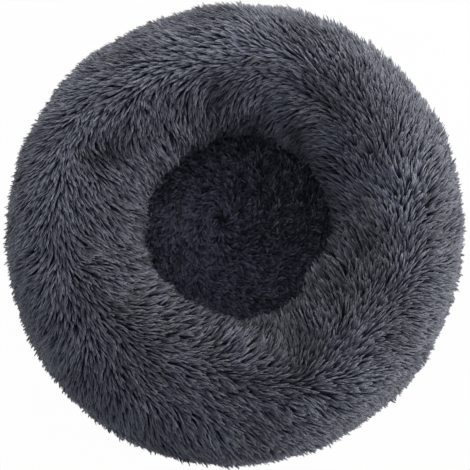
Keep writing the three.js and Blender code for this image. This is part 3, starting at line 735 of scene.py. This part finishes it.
def shag_locks(count, seed):
    rng = np.random.default_rng(seed)
    root, normal, theta = roots_on_grid(skin_points, skin_normals, count, seed)
    round_deg, phi_deg = ring_angles(root)
    phi = np.radians(phi_deg)
    along = combed(root, normal, theta, seed, rng)
    # The nest's walls, their lower part, the outer edge, its rim, the crest and the hanging foot.
    inside, walls, tucked = rising(phi_deg, 150, 50), rising(phi_deg, 112, 24), rising(phi_deg, 142, 26)
    edges, rims, crests = rising(phi_deg, 45, -30), bell(phi_deg, 8, 30), bell(phi_deg, 86, 26)
    under = rising(phi_deg, -2, -20)
    uneven = 0.13 * (1 - 0.5 * tucked - 0.4 * rims)
    length = SHAG_LENGTH * (1 + uneven * rng.normal(0, 1, count)).clip(0.65, 1.35)
    length *= 1 + 0.10 * wave_noise(theta, phi, seed + 3, 9.0)
    # Over the left edge of the nest the pile hangs a little longer, and near the foot it is short.
    left = bell(degrees_between(round_deg, 210), 0, 58)
    length *= 1 - (0.30 - 0.25 * left) * inside
    length *= np.clip((root[:, 2] + 4 * MM) / (34 * MM), 0.45, 1)
    # Painted shade: the lower outer side is a little darker.
    tone = 0.5 - 0.06 * edges + (0.13 + 0.20 * walls + 0.10 * edges - 0.06 * crests) * rng.normal(0, 1, count)
    tone += 0.10 * wave_noise(theta, phi, seed + 4, 7.0) + 0.09 * wave_noise(theta, phi, seed + 5, 14.0)
    # Painted shade: tips that lie down into the nest are darker. Each painted patch of light or shade is
    # placed where the tips lie.
    tip_round, tip_over = ring_angles(root + along * (0.75 * length)[:, None])
    tone -= 0.14 * rising(tip_over, 115, 35)
    for *place, strength in PAINTED_LIGHT_PATCHES:
        tone += strength * spot(tip_round, tip_over, *place)
    stands = from_table(STANDS_OUT, round_deg) * rims
    lift_root = rng.normal(50, 8, count) + 16 * under + (2 + 8 * left) * tucked - 4 * crests
    loose = 1 + 0.8 * walls - 1.2 * tucked - 0.45 * rims
    lift_tip = rng.normal(4, 8, count) * loose + 12 * under + stands
    shag = bundles(rng, root, normal, along, theta, length, tone, lift_root, lift_tip,
                   bend=0.09, wide=(0.65, 1.3), wave=0.02, sag=0.10 * (1 - 0.4 * inside))
    # The walls of the nest and the lower sides are a little less dense, with thin dark gaps.
    kept = rng.uniform(0, 1, count) > 0.42 * walls + 0.15 * edges
    return {key: values[kept] for key, values in shag.items()}


CURTAIN_ROOTS = 9000  # all the way round, of which those near the zip are kept
CURTAIN_ROWS = (43 * MM, 68 * MM)  # heights of the cloth that they grow from


def curtain_locks(count, seed):
    """Long pile from the rows over the zip, combed out and down so that it hangs in front of it."""
    rng = np.random.default_rng(seed)
    root, _, theta = roots_on_grid(skin_points[:, 1:10], skin_normals[:, 1:10], count, seed)
    beside = np.abs(degrees_between(np.degrees(theta), 90)) < ZIP_HALF + 9
    kept = beside & (root[:, 2] > CURTAIN_ROWS[0]) & (root[:, 2] < CURTAIN_ROWS[1])
    root, theta = root[kept], theta[kept]
    count = len(root)
    outward = outward_at(theta)
    down = np.tile([0.0, 0.0, -1.0], (count, 1))
    length = np.minimum((root[:, 2] - 8 * MM) / 0.8, 46 * MM) * rng.uniform(0.8, 1.03, count)
    height = (root[:, 2] - CURTAIN_ROWS[0]) / (CURTAIN_ROWS[1] - CURTAIN_ROWS[0])
    along = rotate_in_plane(down, outward, rng.normal(0.12, 0.14, count))
    tone = 0.5 + 0.13 * rng.normal(0, 1, count)
    lift_root, lift_tip = 70 - 38 * height + rng.normal(0, 4, count), rng.normal(2, 4, count)
    return bundles(rng, root, outward, along, theta, length, tone, lift_root, lift_tip,
                   bend=0.05, wide=(0.8, 1.5), wave=0.02, sag=0)


STRANDS_PER_LOCK = 4


def grow(locks, width, thickness, gather, seed):
    """Strand points and tones for every lock: a flat bundle of strands, width across, with a blunt end."""
    rng = np.random.default_rng(seed)
    owner = np.repeat(np.arange(len(locks["root"])), STRANDS_PER_LOCK)
    count = len(owner)
    side = np.cross(locks["normal"], locks["along"])
    wide = width * locks["wide"][owner]
    places = (np.arange(STRANDS_PER_LOCK) + 0.5) / STRANDS_PER_LOCK - 0.5
    beside = np.tile(places, count // STRANDS_PER_LOCK) + rng.uniform(-0.12, 0.12, count)
    offset = side[owner] * (beside * wide)[:, None]
    offset += locks["along"][owner] * (rng.uniform(-0.3, 0.3, count) * wide)[:, None]
    offset += locks["normal"][owner] * (rng.uniform(-0.25, 0.25, count) * wide)[:, None]
    reach = rng.uniform(0.84, 1.04, count) * (1 - 0.3 * np.abs(beside))
    pull = np.clip(rng.normal(gather, 0.1, count), 0.1, 0.9)
    thick = thickness * rng.uniform(0.8, 1.2, count)
    points = strand_points(locks, owner, offset, reach, pull, thick, rng.uniform(0, TAU, count))
    tone = np.clip(locks["tone"][owner] + rng.normal(0, 0.05, count), 0.0, 1.0)
    return points, tone, owner


SLIDER_LOW, SLIDER_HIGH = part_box("zip_slider")
PULL_SWEEP = 281 * MM  # how far from the bed's axis the swinging pull needs room


def clear_of_zip(points):
    """Which strands stay out of the space that the slider and its pull run through."""
    radius = np.hypot(points[..., 0], points[..., 1])
    round_deg = np.degrees(np.arctan2(points[..., 1], points[..., 0]))
    beside = np.abs(degrees_between(round_deg, 90)) < ZIP_HALF + 2.5
    level = (points[..., 2] > SLIDER_LOW[2] - 2 * MM) & (points[..., 2] < SLIDER_HIGH[2] + 3 * MM)
    return ~np.any(beside & level & (radius < PULL_SWEEP), axis=1)


def plant(name, pieces, locks, strands, material):
    """Strands as pieces of equal sectors round the bed."""
    points, tone, owner = strands
    sector = np.floor((locks["theta"] % TAU) / TAU * pieces).astype(int)[owner]
    for number in range(pieces):
        chosen = sector == number
        piece = link(name % (number + 1), strand_mesh(name % (number + 1), points[chosen], tone[chosen]))
        give(piece, material)


SHAG_LOCKS = 42000
LOWEST_STRAND = 0.6 * MM

ring_locks = [shag_locks(SHAG_LOCKS, 11), curtain_locks(CURTAIN_ROOTS, 14)]
shag = {key: np.concatenate([locks[key] for locks in ring_locks]) for key in ring_locks[0]}
points, tone, owner = grow(shag, width=2.1 * MM, thickness=1.05 * MM, gather=0.38, seed=12)
points[..., 2] = np.maximum(points[..., 2], LOWEST_STRAND)
kept = clear_of_zip(points)
plant("shag_fur_%02d", 16, shag, (points[kept], tone[kept], owner[kept]), SHAG)


# The nest's floor: a crowned pad of cloth with short, matted pile
def nest_grid(radius, rings=28):
    """Points of the floor, from its edge to near its middle, going round the bed."""
    share, theta = np.linspace(0.012, 1, rings)[None, ::-1], theta_grid[:, None]
    crown = 6.5 * MM * (1 - share ** 2) - 3.5 * MM * share ** 14
    lumps = 1.3 * MM * wave_noise(theta, share * 4, 31, 3.0) * (1 - share ** 4)
    height = NEST_HIGH[2] - 9 * MM + crown + lumps
    return around(np.stack([np.broadcast_to(radius * share, height.shape), height], axis=2))


NEST_RADIUS = SEAM_RADIUS - 0.5 * MM
nest_points = swollen(nest_grid(NEST_RADIUS), [0, 1], cap=4 * MM, pressure=2.0, ease=0.03)
nest_normals = grid_normals(nest_points)
nest_radius = np.hypot(nest_points[..., 0], nest_points[..., 1])
nest_top = np.stack([nest_radius, nest_points[..., 2]], axis=2)
NEST_FLOOR = NEST_LOW[2] + 0.3 * MM
nest_low = same_all_round([(r, NEST_FLOOR) for r in np.linspace(2 * MM, NEST_RADIUS, 12)])
nest_pad = give(disc_body("nest_floor_pad", np.concatenate([nest_low, nest_top], axis=1)),
                BACKING_PAINTED_SHADE)
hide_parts("nest_panel")

NEST_WHORL = (-18 * MM, 22 * MM)  # the short pile turns round this place
# Painted light and shade on the nest's floor, as lighter and darker places: where and reach in mm, and
# strength.
NEST_PAINTED_LIGHT = [
    (-50, 26, 46, 0.30), (-40, -40, 46, 0.06), (50, 30, 60, -0.16), (-100, 5, 34, 0.20),
    (-76, -66, 36, 0.34), (-20, -98, 38, 0.34), (50, -90, 36, 0.22), (94, -36, 34, 0.12),
]
NEST_LOCKS = 15000
PLUSH_LENGTH = 13.5 * MM


def plush_locks(count, seed):
    rng = np.random.default_rng(seed)
    root, normal, theta = roots_on_grid(nest_points, nest_normals, count, seed)
    from_whorl = root[:, :2] - np.array(NEST_WHORL)
    outward = unit(np.concatenate([from_whorl, np.zeros((count, 1))], axis=1))
    turned = np.stack([-outward[:, 1], outward[:, 0], np.zeros(count)], axis=1)
    along = unit(turned * 0.8 + outward * 0.6)
    along = unit(along - normal * np.sum(along * normal, axis=1, keepdims=True))
    across_floor = root[:, 0] * 40, root[:, 1] * 40
    swirl = 0.7 * wave_noise(*across_floor, seed + 1, 3.0)
    along = rotate_in_plane(along, normal, swirl + rng.normal(0, 0.26, count))
    length = PLUSH_LENGTH * (1 + 0.2 * rng.normal(0, 1, count)).clip(0.6, 1.4)
    tone = 0.43 + 0.30 * rng.normal(0, 1, count) + 0.10 * wave_noise(*across_floor, seed, 4.0)
    # Painted light and shade on the floor's tone.
    for x, y, reach, strength in NEST_PAINTED_LIGHT:
        apart = (root[:, 0] - x * MM) ** 2 + (root[:, 1] - y * MM) ** 2
        tone = tone + strength * np.exp(-apart / (reach * MM) ** 2)
    lift_root, lift_tip = rng.normal(58, 10, count), rng.normal(8, 12, count)
    return bundles(rng, root, normal, along, theta, length, tone, lift_root, lift_tip,
                   bend=0.3, wide=(0.6, 1.4), wave=0.04, sag=0.05)


plush = plush_locks(NEST_LOCKS, 51)
plush_strands = grow(plush, width=2.3 * MM, thickness=0.95 * MM, gather=0.45, seed=52)
plant("nest_fur_%d", 5, plush, plush_strands, PLUSH)


# The cloth under the bed, with printed dots that keep it from sliding
DOT_HEIGHT = 0.45 * MM
DOT_RADIUS = 2.1 * MM
DOT_PITCH = 13 * MM
DOT_MARGIN = 12 * MM  # bare cloth round the dots
DOT_SIDES = 8
CLOTH_LEVEL = 0.35 * MM
BASE_THICKNESS = 0.7 * MM
TURN_UP = BASE_HIGH[2]
BASE_BEND = 5 * MM


def base_cloth():
    def bend(radius, turns):
        r, z = BASE_RADIUS - BASE_BEND, CLOTH_LEVEL + BASE_BEND
        return [(r + radius * math.sin(a), z - radius * math.cos(a)) for a in turns]

    turns = np.linspace(0, math.pi / 2, 7)
    flat = [(r, CLOTH_LEVEL) for r in np.linspace(2 * MM, BASE_RADIUS - BASE_BEND - 2 * MM, 14)]
    lip = [(BASE_RADIUS, TURN_UP), (BASE_RADIUS - BASE_THICKNESS, TURN_UP)]
    back = [(r, CLOTH_LEVEL + BASE_THICKNESS) for r, _ in flat[::-1]]
    sections = same_all_round(
        flat + bend(BASE_BEND, turns) + lip + bend(BASE_BEND - BASE_THICKNESS, turns[::-1]) + back)
    # Small puckers where the edge is gathered into the seam. They only go inward.
    near_edge = rising(sections[..., 0], 0.94 * BASE_RADIUS, 0.06 * BASE_RADIUS)
    sections[..., 0] -= 0.5 * MM * folds(wave_noise(theta_grid, 0, 71, 60.0, 12))[:, None] * near_edge ** 2
    return sections


base = give(disc_body("base_cloth", base_cloth()), OXFORD)
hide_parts("base_panel")


def domes(name, places):
    """Low round dots pointing down, at places given as an array of points on their upper faces."""
    shares = [(1.0, 0.0), (0.85, 0.55), (0.45, 0.95)]
    rim = [(DOT_RADIUS * out * math.cos(a), DOT_RADIUS * out * math.sin(a), -DOT_HEIGHT * down)
           for out, down in shares for a in np.arange(DOT_SIDES) * TAU / DOT_SIDES]
    dot = np.array(rim + [(0, 0, -DOT_HEIGHT), (0, 0, 0)])
    last = len(rim) - DOT_SIDES
    corners = [(near, (near + 1) % DOT_SIDES) for near in range(DOT_SIDES)]
    tips = [[last + after, last + near, len(rim)] for near, after in corners]
    tips += [[near, after, len(rim) + 1] for near, after in corners]
    walls = tube_quads(DOT_SIDES, len(shares))[:, ::-1]
    faces = [repeated(part, len(places), len(dot)) for part in (walls, tips)]
    return solid(name, places[:, None] + dot[None], faces)


def grip_places(pitch, reach):
    """A staggered grid of places inside a circle."""
    rows = np.arange(-int(reach / pitch) - 2, int(reach / pitch) + 3)
    x, y = np.meshgrid(rows * pitch, rows * pitch * math.sqrt(0.75))
    x = x + (rows[:, None] % 2) * pitch / 2
    inside = np.hypot(x, y) < reach
    return np.stack([x[inside], y[inside], np.full(inside.sum(), DOT_HEIGHT)], axis=1)


give(domes("base_grip_dots", grip_places(DOT_PITCH, BASE_RADIUS - DOT_MARGIN)), GRIP)


# Tapes
def stitch_row(name, radius, height, count, length, thickness):
    """Short rounded stitches on a circle round the bed."""
    angles = (np.arange(count) + 0.5) / count * TAU
    out, along = outward_at(angles), onward_at(angles)
    across = np.cross(along, out)
    middle = out * radius + [0, 0, height]
    parts = []
    shares = [(-0.5, 0.35), (-0.38, 0.9), (0.0, 1.0), (0.38, 0.9), (0.5, 0.35)]
    for place, wide in shares:
        for a in np.arange(6) * TAU / 6:
            lift = out * math.sin(a) + across * math.cos(a)
            parts.append(middle + along * (place * length) + lift * (0.5 * thickness * wide))
    ends = [[5, 4, 3, 2, 1, 0], [24, 25, 26, 27, 28, 29]]
    faces = [repeated(part, count, len(parts)) for part in (tube_quads(6, len(shares)), ends)]
    return solid(name, np.stack(parts, axis=1), faces)


BIND_LOW, BIND_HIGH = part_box("base_binding")
BIND_OUTER = BIND_HIGH[0]
BIND_INNER = BIND_OUTER - 0.8 * MM
BIND_STITCHES = 414
binding_sections = same_all_round(rounded(BIND_INNER, BIND_OUTER, BIND_LOW[2], BIND_HIGH[2], 0.35 * MM))
binding_sections[..., 0] -= 0.08 * MM * (1 + np.sin(BIND_STITCHES / 2 * theta_grid))[:, None]
binding = give(swept("base_binding_tape", binding_sections, theta_grid), SEAM_CLOTH)
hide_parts("base_binding")
bind_level = (BIND_LOW[2] + BIND_HIGH[2]) / 2
stitches = stitch_row("base_binding_stitches", BIND_OUTER - 0.1 * MM, bind_level, BIND_STITCHES,
                      length=2.9 * MM, thickness=0.55 * MM)
give(stitches, THREAD)

TAPE_LOW, TAPE_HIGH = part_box("nest_seam_tape")
tape_sections = same_all_round(
    rounded(TAPE_HIGH[0] - 12 * MM, TAPE_HIGH[0], TAPE_LOW[2], TAPE_HIGH[2], 0.5 * MM))
tape_sections[..., 0] += 0.2 * MM * np.sin(91 * theta_grid)[:, None]
seam_tape = give(swept("nest_seam_ribbon", tape_sections, theta_grid), SEAM_CLOTH)
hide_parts("nest_seam_tape")


# The ring's bag and its filling
def full_sections(node, steps):
    """A node's closed section all round the bed, as (radius, height)."""
    angles = np.arange(steps) * TAU / steps - math.pi / 2
    reach = section_reach(node, angles, 0.15)
    radius = RING_RADIUS + reach * np.cos(angles)[None, :]
    height = RING_LEVEL + reach * np.sin(angles)[None, :]
    return np.stack([radius, height], axis=2), angles


def inward(sections, depth):
    """Closed sections moved toward their middle by depth, a number or an array over the grid."""
    along = np.roll(sections, -1, axis=1) - np.roll(sections, 1, axis=1)
    normal = np.stack([along[..., 1], -along[..., 0]], axis=2)
    normal /= np.linalg.norm(normal, axis=2, keepdims=True)
    return sections - normal * np.broadcast_to(depth, sections.shape[:2])[..., None]


SECTION_STEPS = 72
bag_outer, bag_angles = full_sections("bolster_liner", SECTION_STEPS)
bag_outer = inward(bag_outer, 0.9 * MM * folds(skin_noise(bag_angles, 81, 26.0)))
# The tube is sewn from one strip, and its closing seam runs round the middle of its flat bottom.
bag_open = np.concatenate([bag_outer[:, 1:], bag_outer[:, :1] - [0.6 * MM, 0]], axis=1)
bag_within = inward(bag_open, 0.5 * MM)
bag = swept("ring_bag", np.concatenate([bag_open, bag_within[:, ::-1]], axis=1), theta_grid)
give(bag, NONWOVEN)
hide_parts("bolster_liner")

fibre_outer, fibre_angles = full_sections("bolster_fill", SECTION_STEPS)
fibre_depth = 1.6 * MM * folds(skin_noise(fibre_angles, 83, 16.0)) + 0.3 * MM
fibre = swept("ring_fibre", inward(fibre_outer, fibre_depth), theta_grid)
give(fibre, FIBRE)
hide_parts("bolster_fill")


# The cushion under the nest's floor, in its own bag
def cushion_sections(radius, low, high, edge, waves):
    """A round cushion whose top is crowned and whose edge draws in to a seam at mid height."""
    middle = (low + high) / 2
    bottom = [(r, low) for r in np.linspace(2 * MM, radius - edge, 12)]
    sweep = np.linspace(-math.pi / 2, math.pi / 2, 11)[1:-1]
    side = [(radius - edge + edge * math.cos(a), middle + (high - low) / 2 * math.sin(a)) for a in sweep]
    top = [(r, high) for r, _ in bottom[::-1]]
    sections = same_all_round(bottom + side + top)
    near_edge = rising(sections[..., 0], 0.8 * radius, 0.2 * radius)
    pucker = folds(wave_noise(theta_grid, 0, 85, 40.0, 12))[:, None]
    sections[..., 0] -= waves * pucker * near_edge
    crowned = sections[..., 1] > middle
    sections[..., 1] -= crowned * waves * pucker * (0.3 + near_edge)
    return sections


def cushion_bag():
    """The bag as one body with an outer and an inner face."""
    outer = cushion_sections(CUSHION_HIGH[0], CUSHION_LOW[2], CUSHION_HIGH[2],
                             edge=7 * MM, waves=1.0 * MM)
    middle = (CUSHION_LOW[2] + CUSHION_HIGH[2]) / 2
    within = outer.copy()
    within[..., 0] = np.maximum(outer[..., 0] - 0.5 * MM, 1 * MM)
    within[..., 1] = middle + (outer[..., 1] - middle) * 0.955
    skin, skin_faces = disc_parts(outer)
    lining, lining_faces = disc_parts(within)
    faces = skin_faces + [group[:, ::-1] + len(skin) for group in lining_faces]
    return solid("cushion_bag", np.concatenate([skin, lining]), faces)


pad_bag = give(cushion_bag(), NONWOVEN)
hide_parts("cushion_liner")

PAD_LOW, PAD_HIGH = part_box("cushion_fill")
pad_sections = cushion_sections(PAD_HIGH[0] - 0.6 * MM, PAD_LOW[2], PAD_HIGH[2],
                                edge=6 * MM, waves=1.2 * MM)
pad_fibre = give(disc_body("cushion_fibre", pad_sections), FIBRE)
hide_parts("cushion_fill")


# The zip: woven tapes, toothed coils, and the metal parts kept from the frame
ZIP_RADIUS = ZIP_HIGH[1] - 0.3 * MM
COIL_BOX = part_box("zip_coil_upper")
COIL_HALF = math.asin(COIL_BOX[1][0] / (ZIP_RADIUS + 1.2 * MM))
ZIP_LEVEL = (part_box("zip_coil_lower")[1][2] + COIL_BOX[0][2]) / 2
TOOTH_PITCH = 1.3 * MM
# The tapes run on behind their coils, where they are sewn down, and past the stops into the seam.
UNDER_COIL = 3.6 * MM
INTO_SEAM = 9 * MM


def zip_tape(name, node):
    low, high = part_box(node)
    bottom, top = (low[2], high[2] + UNDER_COIL) if low[2] < ZIP_LEVEL else (low[2] - UNDER_COIL, high[2])
    section = rounded(ZIP_RADIUS - 0.25 * MM, ZIP_RADIUS + 0.25 * MM, bottom, top, 0.2 * MM, 3)
    half = math.acos(max(low[1], 0) / ZIP_RADIUS)
    angles = np.linspace(math.pi / 2 - half, math.pi / 2 + half, int(2 * half * ZIP_RADIUS / (3 * MM)))
    past = INTO_SEAM / ZIP_RADIUS
    angles = np.concatenate([[angles[0] - past], angles, [angles[-1] + past]])
    tape = give(swept(name, section, angles, whole=False), ZIP_CLOTH)
    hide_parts(node)


def zip_coil(name, node, side):
    """One side's teeth: flattened loops with a wider head, at an even pitch along the arc. They reach
    past the middle, between those of the other side."""
    low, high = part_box(node)
    count = int(2 * COIL_HALF * ZIP_RADIUS / TOOTH_PITCH)
    shift = 0.5 if side > 0 else 0.0
    angles = math.pi / 2 - COIL_HALF + (np.arange(count - 1) + 0.5 + shift) * 2 * COIL_HALF / count
    inner = ZIP_LEVEL - side * 0.3 * MM
    outer = high[2] if side > 0 else low[2]
    tooth = np.array([
        (across * (1 - 0.25 * math.sin(a)), 1.15 * MM * wide * math.cos(a),
         (inner + outer) / 2 + (outer - inner) / 2 * wide * math.sin(a))
        for across, wide in ((-0.26 * MM, 0.8), (0.0, 1.0), (0.26 * MM, 0.8))
        for a in np.arange(10) * TAU / 10])
    points = (outward_at(angles)[:, None] * (ZIP_RADIUS + tooth[None, :, 1:2])
              + onward_at(angles)[:, None] * tooth[None, :, 0:1])
    points[..., 2] = tooth[None, :, 2]
    ends = [list(range(9, -1, -1)), list(range(20, 30))]
    faces = [repeated(part, len(angles), len(tooth))[:, ::-side] for part in (tube_quads(10, 3), ends)]
    coil = give(solid(name, points, faces), NYLON)
    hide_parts(node)


zip_tape("zip_tape_cloth_upper", "zip_tape_upper")
zip_tape("zip_tape_cloth_lower", "zip_tape_lower")
zip_coil("zip_teeth_upper", "zip_coil_upper", 1)
zip_coil("zip_teeth_lower", "zip_coil_lower", -1)


# A better material and softened edges for the solids whose shape stays
for node in ("zip_slider", "zip_pull", "zip_top_stop_upper", "zip_top_stop_lower", "zip_bottom_stop"):
    for place in NODES[node].material_slots:
        place.material = METAL
    edges = NODES[node].modifiers.new("soft_edges", "BEVEL")
    edges.width = 0.2 * MM
    edges.segments = 2
    edges.limit_method = "ANGLE"
    edges.harden_normals = False


# The blank wash label
LABEL_LOW, LABEL_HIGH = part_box("care_label")


def cloth_radius(angle, heights):
    """How far out the lower side of the cover's cloth lies at an angle and some heights."""
    near = int(angle / TAU * AROUND)
    share = angle / TAU * AROUND - near
    lower = skin_points[[near % AROUND, (near + 1) % AROUND], :14]
    first, second = (np.interp(heights, row[:, 2], np.hypot(row[:, 0], row[:, 1])) for row in lower)
    return first * (1 - share) + second * share


def care_label():
    x, y = ((LABEL_LOW[k] + LABEL_HIGH[k]) / 2 for k in (0, 1))
    middle, radius = math.atan2(y, x), math.hypot(x, y)
    half = 0.5 * math.hypot(LABEL_HIGH[0] - LABEL_LOW[0], LABEL_HIGH[1] - LABEL_LOW[1]) - 0.4 * MM
    across, down = np.linspace(-half, half, 13), np.linspace(0, 1, 15)
    tall = LABEL_HIGH[2] - LABEL_LOW[2]
    s, t = np.meshgrid(across, down, indexing="ij")
    curl = 1.0 * MM * t ** 3 + 0.35 * MM * t * np.sin(s / half * 2.2)
    cloth = np.array([cloth_radius(middle + place / radius, LABEL_HIGH[2] - down * tall) for place in across])
    r = np.maximum(radius + 0.1 * MM, cloth + 0.8 * MM) + curl
    top, under = (np.stack([part * np.cos(middle + s / radius), part * np.sin(middle + s / radius),
                            LABEL_HIGH[2] - t * tall], axis=2) for part in (r + 0.35 * MM, r))
    number = np.arange(s.size).reshape(s.shape)
    ring = np.concatenate([number[:, 0], number[-1, 1:], number[-2::-1, -1], number[0, -2:0:-1]])
    after = np.roll(ring, -1)
    grid = grid_faces(*s.shape, wrap_rows=False)
    faces = [grid[:, ::-1], grid + s.size, np.stack([ring, after, after + s.size, ring + s.size], axis=1)]
    return solid("wash_label", np.concatenate([top, under]), faces), 2 * half, tall


label, label_width, label_length = care_label()
give(label, LABEL_CLOTH)
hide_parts("care_label")


# Floor, camera and light
PHOTO_SIZE = 470  # pixels, both ways
WIDTH_PER_PIXEL = 1.286 * MM  # at the ring's widest level
CAMERA_DISTANCE = 2.4
CAMERA_TILT = 3.0  # degrees from straight above, toward the photographed bed's front
WIDEST_LEVEL = 80 * MM
LIT_PLACE = Vector((0, 0, 0.08))  # where the lamps point


def seen_in_picture(tree):
    """1 for rays that show the background: from the camera, off glossy surfaces and through clear ones."""
    rays = tree.add("ShaderNodeLightPath", {}).outputs
    total = rays["Is Camera Ray"]
    for way in ("Is Glossy Ray", "Is Transmission Ray"):
        total = tree.add("ShaderNodeMath", {0: total, 1: rays[way]}, operation="MAXIMUM").outputs[0]
    return total


def build_stage():
    half = 12.0
    corners = [(-half, -half, 0), (half, -half, 0), (half, half, 0), (-half, half, 0)]
    floor = solid("studio_floor", corners, [np.array([[0, 1, 2, 3]])])
    material, tree, shader = new_material("studio_floor")
    tree.put(shader, {"Base Color": (0.86, 0.86, 0.86, 1), "Roughness": 0.9})
    glow = tree.add("ShaderNodeEmission", {"Color": (1, 1, 1, 1)})
    part = tree.add("ShaderNodeMath", {0: seen_in_picture(tree), 1: 0.98}, operation="MULTIPLY")
    mixed = tree.add("ShaderNodeMixShader", {
        "Fac": part.outputs[0], 1: shader.outputs["BSDF"], 2: glow.outputs["Emission"]})
    tree.put(tree.nodes["Material Output"], {"Surface": mixed.outputs["Shader"]})
    floor.data.materials.append(material)


def area_light(name, place, size, power):
    data = bpy.data.lights.new(name, "AREA")
    data.shape = "DISK"
    data.size = size
    data.energy = power
    lamp = link(name, data)
    lamp.location = place
    lamp.rotation_euler = (LIT_PLACE - Vector(place)).to_track_quat("-Z", "Y").to_euler()


def build_light():
    world = bpy.data.worlds.new("studio")
    tree = Tree(world)
    fill = tree.put(tree.nodes["Background"], {"Color": (0.90, 0.97, 1.2, 1), "Strength": 0.295})
    backdrop = tree.add("ShaderNodeBackground", {"Color": (1, 1, 1, 1)})
    mixed = tree.add("ShaderNodeMixShader", {
        "Fac": seen_in_picture(tree), 1: fill.outputs["Background"], 2: backdrop.outputs["Background"]})
    tree.put(tree.nodes["World Output"], {"Surface": mixed.outputs["Shader"]})
    bpy.context.scene.world = world
    area_light("right_lamp", (2.26, 0.05, 0.66), size=1.25, power=56)
    area_light("back_lamp", (-0.1, 2.2, 0.6), size=1.25, power=50)
    area_light("left_fill", (-2.2, 0.1, 0.7), size=1.6, power=8)


def build_camera():
    data = bpy.data.cameras.new("camera")
    camera = link("camera", data)
    tilt = math.radians(CAMERA_TILT)
    way = Vector((0, -math.sin(tilt), math.cos(tilt)))
    camera.location = Vector((0, 0, WIDEST_LEVEL)) + way * CAMERA_DISTANCE
    camera.rotation_euler = (tilt, 0, 0)
    data.sensor_fit = "HORIZONTAL"
    data.sensor_width = 36
    data.lens = data.sensor_width * CAMERA_DISTANCE / (PHOTO_SIZE * WIDTH_PER_PIXEL)
    data.clip_end = 20
    bpy.context.scene.camera = camera


build_stage()
build_light()
build_camera()
bpy.context.scene.view_settings.view_transform = "Standard"
